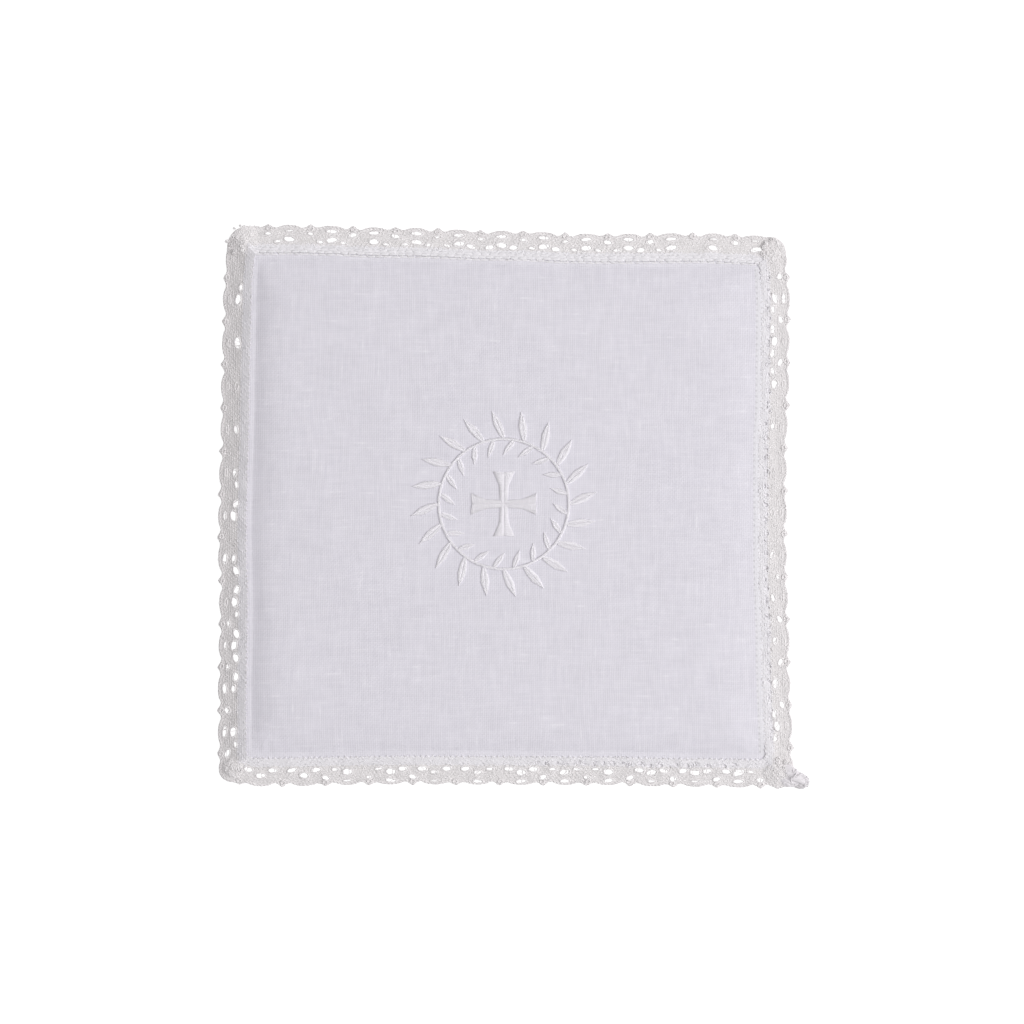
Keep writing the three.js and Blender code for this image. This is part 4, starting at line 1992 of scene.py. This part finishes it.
    def work_seam(self, strip: Strip, stitches: Stitches, rng: np.random.Generator) -> None:
        """Sews the heading to the linen's hem with small slanting stitches.

        Args:
            strip: The strip.
            stitches: What the stitches are added to.
            rng: Draws the unevenness.
        """
        low, high = strip.ends(np.full(1, self.width + 1.6))
        along = np.arange(low[0], high[0], self.seam_pitch)
        along = along + rng.normal(0, 0.12, along.shape)
        inward = np.full(along.shape, self.width + 0.1)
        count = len(along)
        height = max(strip.side.rise + self.seam_rise, self.seam_lowest)
        stitches.add(
            strip.side.place(along, inward, height),
            strip.side.directions(math.pi / 2 + rng.normal(0.3, 0.1, count), rng.normal(0.05, 0.05, count)),
            1.0,
            self.seam_thick,
            rng.uniform(0.6, 1.0, count),
        )

    def work_fibres(self, strip: Strip, stitches: Stitches, rng: np.random.Generator) -> None:
        """Adds the loose fibres that stand out from the edge.

        Args:
            strip: The strip.
            stitches: What the fibres are added to.
            rng: Draws their places.
        """
        count = int((strip.end - strip.start) / self.fibre_pitch)
        run = rng.uniform(0.0, 1.0, count)
        along, inward = strip.lay(run, run * 0)
        height = self.lift(along, inward, strip) + rng.uniform(-0.1, 0.4, count)
        stitches.add(
            strip.side.place(along, inward + 0.12, height),
            strip.side.directions(rng.uniform(-2.6, -0.5, count), rng.normal(0, 0.3, count)),
            rng.uniform(0.6, 1.3, count),
            self.fibre_thick,
            rng.uniform(0.5, 1.0, count),
        )

    def cord_paths(self, strips: Sequence[Strip]) -> list[np.ndarray]:
        """The yarns of the scalloped edge's cord, which runs round all four sides.

        Args:
            strips: The four strips.

        Returns:
            One closed path a yarn.
        """
        rings = []
        for strip in strips:
            run = np.linspace(0, 1, self.cord_places, endpoint=False)
            along, inward = strip.lay(run, run * 0)
            rings.append(strip.side.place(along, inward, self.lift(along, inward, strip)))
        line = eased_ring(np.concatenate(rings), self.cord_step, 3)
        ahead = unit(np.roll(line, -1, axis=0) - np.roll(line, 1, axis=0))
        line = line + np.cross(UP, ahead) * self.edge_cord * 0.48
        line[:, 2] = np.maximum(line[:, 2], self.edge_cord * 0.5) - self.cord_sink
        return plied(line, 2, self.edge_cord * 0.24, self.cord_turn)

    def paint_cord_side_light(self, mesh: bpy.types.Mesh) -> None:
        """Paints the edge's cord lighter or darker on each side, as painted light and shade.

        Args:
            mesh: The cord's mesh.
        """
        points = np.empty(len(mesh.vertices) * 3, np.float32)
        mesh.vertices.foreach_get("co", points)
        x, y = points.reshape(-1, 3)[:, 0], points.reshape(-1, 3)[:, 1]
        facing = np.stack([-y, x, y, -x])
        # Each side's painted light and shade on the cord.
        tones = np.array([side.cord_painted_light for side in SIDES], np.float32)[facing.argmax(axis=0)]
        mesh.attributes["tone"].data.foreach_set("value", tones)

    def build(
        self, finish: bpy.types.Material, ground: bpy.types.Material, inner: bpy.types.Material
    ) -> list[bpy.types.Object]:
        """Makes the lace's pieces.

        Args:
            finish: The cotton's material.
            ground: The web's material, darker than the yarn as painted shade.
            inner: The heading's material.

        Returns:
            The web first, then what is worked on it.
        """
        strips = [Strip.around(index) for index in range(len(SIDES))]
        ground_bm, tones = self.web(strips)
        ground_mesh = mesh_of(ground_bm, "lace_web", tones)
        ground_mesh.set_sharp_from_angle(angle=math.radians(40))
        web = set_piece("lace_web", ground_mesh, ground)
        ground_mesh.materials.append(inner)
        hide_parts("lace_edging")
        pieces = [web]
        rng = np.random.default_rng(self.seed)
        small = Stitches(stitch_shape(sides=6, rings=4))
        rings = []
        for strip in strips:
            dashed = strip.side.heading is Heading.DASHES
            posts = self.dash_posts if dashed else self.post_rows
            for band, rows, thick, dress in (
                ("field", self.field_rows, self.field_yarn, finish),
                ("heading", posts, self.heading_yarn, inner),
            ):
                paths = [self.looped(strip, row, rng) for row in rows]
                name = f"lace_{band}_{strip.side.name}"
                # The yarn's tone is its side's painted light and shade.
                tone = strip.side.tone + 0.6
                pieces.append(set_piece(name, cords_mesh(name, paths, thick, tone), dress))
            if dashed:
                sewing = Stitches(stitch_shape(sides=8, rings=6))
                self.work_dashes(strip, sewing, rng)
                name = f"lace_sewing_{strip.side.name}"
                pieces.append(set_piece(name, sewing.mesh(name), inner))
            self.work_strays(strip, small, rng)
            self.work_seam(strip, small, rng)
            self.work_fibres(strip, small, rng)
            rings += self.rims(strip, rng) + self.knots(strip, rng)
        worked = small.mesh("lace_small_stitches")
        pieces.append(set_piece("lace_small_stitches", worked, finish))
        rims = cords_mesh("lace_rims", rings, self.rim_thick, 0.6, closed=True)
        pieces.append(set_piece("lace_rims", rims, finish))
        cord = cords_mesh("lace_edge_cord", self.cord_paths(strips), self.edge_cord * 0.56, closed=True)
        self.paint_cord_side_light(cord)
        pieces.append(set_piece("lace_edge_cord", cord, finish))
        return pieces


@dataclass(frozen=True)
class Lump:
    """One crumpled fold of the tail: its middle, its half sizes, its turn in degrees and its tone."""

    middle: tuple[float, float, float]
    half: tuple[float, float, float]
    turn: float
    tone: float


@dataclass
class LaceTail:
    """The strip's two ends, bunched into a short crumpled tail at the lower right corner."""

    lumps: tuple[Lump, ...] = (
        Lump(middle=(84.9, -78.5, 0.8), half=(3.6, 2.1, 0.95), turn=-38, tone=0.75),
        Lump(middle=(84.4, -80.9, 0.8), half=(3.3, 1.7, 0.9), turn=-6, tone=0.7),
        Lump(middle=(86.4, -80.0, 1.2), half=(2.9, 1.5, 0.9), turn=-24, tone=0.85),
        Lump(middle=(88.0, -79.8, 0.8), half=(2.5, 1.35, 0.8), turn=-34, tone=0.55),
        Lump(middle=(88.4, -81.2, 0.8), half=(1.9, 1.3, 0.75), turn=12, tone=0.25),
        Lump(middle=(87.1, -82.1, 0.7), half=(2.1, 0.95, 0.65), turn=-12, tone=0.1),
        Lump(middle=(89.2, -80.6, 0.7), half=(1.2, 1.1, 0.65), turn=-50, tone=0.05),
    )
    fold_wave: float = 1.9
    fold_depth: float = 0.17
    curls: int = 12
    curl_radius: float = 0.62
    curl_thick: float = 0.42
    fibres: int = 60
    fibre_thick: float = 0.06
    lowest: float = 0.25
    seed: int = 8

    def crumpled(self, lump: Lump, salt: float) -> bpy.types.Mesh:
        """Models one fold: a flattened ball pressed into soft creases.

        Args:
            lump: The fold.
            salt: Makes its creases differ from the others'.

        Returns:
            Its mesh, in metres.
        """
        bm = bmesh.new()
        bmesh.ops.create_icosphere(bm, subdivisions=5, radius=1)
        ball = np.array([v.co for v in bm.verts])
        sized = ball * lump.half
        bend = 0.7 * ripple(sized[:, 0], sized[:, 1], 5.0, salt)
        crease = np.abs(np.sin(math.pi * (sized[:, 1] + bend) / self.fold_wave + salt))
        cross = np.abs(np.sin(math.pi * (sized[:, 0] + 2 * bend) / (1.6 * self.fold_wave) + 2 * salt))
        press = 1 - self.fold_depth * (1 - crease) ** 2 - 0.6 * self.fold_depth * (1 - cross) ** 3
        shaped = sized * press[:, None]
        for vert, co in zip(bm.verts, shaped):
            vert.co = co
        bmesh.ops.rotate(bm, verts=bm.verts, matrix=Matrix.Rotation(math.radians(lump.turn), 3, "Z"))
        bmesh.ops.translate(bm, verts=bm.verts, vec=lump.middle)
        for vert in bm.verts:
            vert.co.z = max(vert.co.z, 0.02)
        return mesh_of(bm, "lace_tail_fold", lump.tone)

    def on_top(self, rng: np.random.Generator, count: int) -> tuple[np.ndarray, np.ndarray, np.ndarray]:
        """Draws places on the folds.

        Args:
            rng: Draws them.
            count: How many.

        Returns:
            The places, the directions out of the folds and the folds' tones.
        """
        chosen = [self.lumps[i] for i in rng.integers(0, len(self.lumps), count)]
        around = rng.uniform(0, 2 * math.pi, count)
        rise = rng.uniform(0.0, 1.0, count)
        level = np.sqrt(1 - rise**2)
        turn = np.radians([lump.turn for lump in chosen])
        half = np.array([lump.half for lump in chosen])
        flat_x, flat_y = half[:, 0] * level * np.cos(around), half[:, 1] * level * np.sin(around)
        out = np.column_stack(
            [flat_x * np.cos(turn) - flat_y * np.sin(turn), flat_x * np.sin(turn) + flat_y * np.cos(turn)]
        )
        out = np.column_stack([out, half[:, 2] * rise])
        places = np.array([lump.middle for lump in chosen]) + out * 0.93
        places[:, 2] = np.maximum(places[:, 2], self.lowest)
        return places, unit(out / half**2), np.array([lump.tone for lump in chosen])

    def curled(self, rng: np.random.Generator) -> list[np.ndarray]:
        """The small curls of yarn on the folds.

        Args:
            rng: Draws their places.

        Returns:
            One path a curl.
        """
        places, normals, _ = self.on_top(rng, self.curls)
        paths = []
        for place, normal in zip(places, normals):
            across = np.cross(normal, (0.3, 0.9, 0.2))
            across /= np.linalg.norm(across)
            over = np.cross(normal, across)
            turn = rng.uniform(0, 6) + np.linspace(0, rng.uniform(2.5, 5.5), 12)
            size = self.curl_radius * rng.uniform(0.6, 1.3)
            stretch = rng.uniform(0.8, 2.0)
            ring = place + size * (stretch * np.cos(turn)[:, None] * over + np.sin(turn)[:, None] * across)
            ring = ring - normal * 0.12 * np.cos(2 * turn)[:, None]
            ring[:, 2] = np.maximum(ring[:, 2], self.lowest)
            paths.append(np.column_stack([ring, np.full(12, rng.uniform(0.7, 1.1))]))
        return paths

    def build(self, finish: bpy.types.Material) -> list[bpy.types.Object]:
        """Makes the tail's pieces.

        Args:
            finish: The cotton's material.

        Returns:
            The folds, the curls on them and the loose fibres.
        """
        rng = np.random.default_rng(self.seed)
        pieces = []
        for number, lump in enumerate(self.lumps):
            mesh = self.crumpled(lump, 1.3 * number)
            pieces.append(set_piece(f"lace_tail_fold_{number + 1}", mesh, finish))
        curls = cords_mesh("lace_tail_curls", self.curled(rng), self.curl_thick, 0.55)
        pieces.append(set_piece("lace_tail_curls", curls, finish))
        fray = Stitches(stitch_shape(sides=5, rings=4))
        places, normals, tones = self.on_top(rng, self.fibres)
        directions = unit(np.cross(normals, rng.normal(0, 1, normals.shape)) + 0.35 * normals)
        lengths = rng.uniform(0.7, 1.6, self.fibres)
        fray.add(places, directions, lengths, self.fibre_thick, tones + 0.2)
        frayed = fray.mesh("lace_tail_fibres")
        pieces.append(set_piece("lace_tail_fibres", frayed, finish))
        return pieces


@dataclass
class Studio:
    """The pale floor, the soft lights and the camera at the photograph's view."""

    view_middle: tuple[float, float] = (2.22, -1.18)
    view_width: float = 303.1
    camera_height: float = 1200.0
    sensor: float = 36.0
    floor_size: float = 4000.0
    floor_drop: float = 0.05
    floor_glow: float = 0.8
    floor_colour: Colour = (0.4, 0.4, 0.4, 1.0)
    key_place: tuple[float, float, float] = (1300.0, 60.0, 1250.0)
    key_size: float = 1800.0
    key_power: float = 28.5
    fill_height: float = 1500.0
    fill_size: float = 1600.0
    fill_power: float = 8.6
    sky_strength: float = 0.2

    def camera(self) -> None:
        """Sets the camera straight above the cloth, framed as the photograph is."""
        data = bpy.data.cameras.new("camera")
        data.sensor_width = self.sensor
        data.lens = self.sensor * self.camera_height / self.view_width
        data.clip_start = 0.1
        data.clip_end = 10
        camera = bpy.data.objects.new("camera", data)
        camera.location = Vector((*self.view_middle, self.camera_height)) * MM
        bpy.context.scene.collection.objects.link(camera)
        bpy.context.scene.camera = camera

    def floor(self) -> None:
        """Lays a plain pale floor that stays white round the cloth."""
        bm = bmesh.new()
        bmesh.ops.create_grid(bm, x_segments=1, y_segments=1, size=self.floor_size / 2)
        bmesh.ops.translate(bm, verts=bm.verts, vec=(0, 0, -self.floor_drop))
        floor = bpy.data.objects.new("floor", mesh_of(bm, "floor"))
        board = NodeBoard("pale_floor")
        diffuse = board.add("BsdfDiffuse", {"Color": self.floor_colour}).outputs[0]
        glow = board.add("Emission", {"Color": (1, 1, 1, 1), "Strength": self.floor_glow}).outputs[0]
        both = board.add("AddShader", {0: diffuse, 1: glow}).outputs[0]
        board.fill(board.nodes["Material Output"], {"Surface": both})
        board.nodes.remove(board.shader)
        floor.data.materials.append(board.material)
        bpy.context.scene.collection.objects.link(floor)

    def light(self, name: str, place: tuple[float, float, float], size: float, power: float) -> None:
        """Hangs a soft square light that faces the cloth.

        Args:
            name: The light's name.
            place: Where it hangs.
            size: Its side.
            power: Its power in watts.
        """
        data = bpy.data.lights.new(name, "AREA")
        data.shape = "SQUARE"
        data.size = size * MM
        data.energy = power
        lamp = bpy.data.objects.new(name, data)
        lamp.location = Vector(place) * MM
        lamp.rotation_euler = (-Vector(place)).to_track_quat("-Z", "Y").to_euler()
        bpy.context.scene.collection.objects.link(lamp)

    def sky(self) -> None:
        """Sets an even pale surround, white where the camera sees it."""
        world = bpy.data.worlds.new("surround")
        world.use_nodes = True
        nodes, links = world.node_tree.nodes, world.node_tree.links
        back = nodes["Background"]
        path = nodes.new("ShaderNodeLightPath")
        strength = nodes.new("ShaderNodeMapRange")
        strength.inputs["To Min"].default_value = self.sky_strength
        strength.inputs["To Max"].default_value = 1.0
        links.new(path.outputs["Is Camera Ray"], strength.inputs["Value"])
        links.new(strength.outputs["Result"], back.inputs["Strength"])
        back.inputs["Color"].default_value = (1, 1, 1, 1)
        bpy.context.scene.world = world

    def build(self) -> None:
        """Sets everything up, with plain colours."""
        self.camera()
        self.floor()
        self.sky()
        self.light("key", self.key_place, self.key_size, self.key_power)
        self.light("fill", (0.0, 0.0, self.fill_height), self.fill_size, self.fill_power)
        bpy.context.scene.view_settings.view_transform = "Standard"


def main() -> None:
    """Builds the studio, the linen, its embroidery and the lace, in that order."""
    logging.basicConfig(level=logging.INFO, format="%(name)s: %(message)s")
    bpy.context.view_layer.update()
    Studio().build()
    linen_panel = LinenPanel()
    linen_finish = LinenFinish(half_size=(linen_panel.half_width, linen_panel.half_length))
    linen = linen_panel.build(linen_finish.material())
    embroidery = Embroidery().build(SATIN_THREAD.material())
    lace_edging = LaceEdging()
    lace = lace_edging.build(LACE_COTTON.material(), LACE_GROUND_SHADE.material(), LACE_HEADING.material())
    lace += LaceTail().build(TAIL_COTTON.material())
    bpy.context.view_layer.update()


if __name__ == "__main__":
    main()
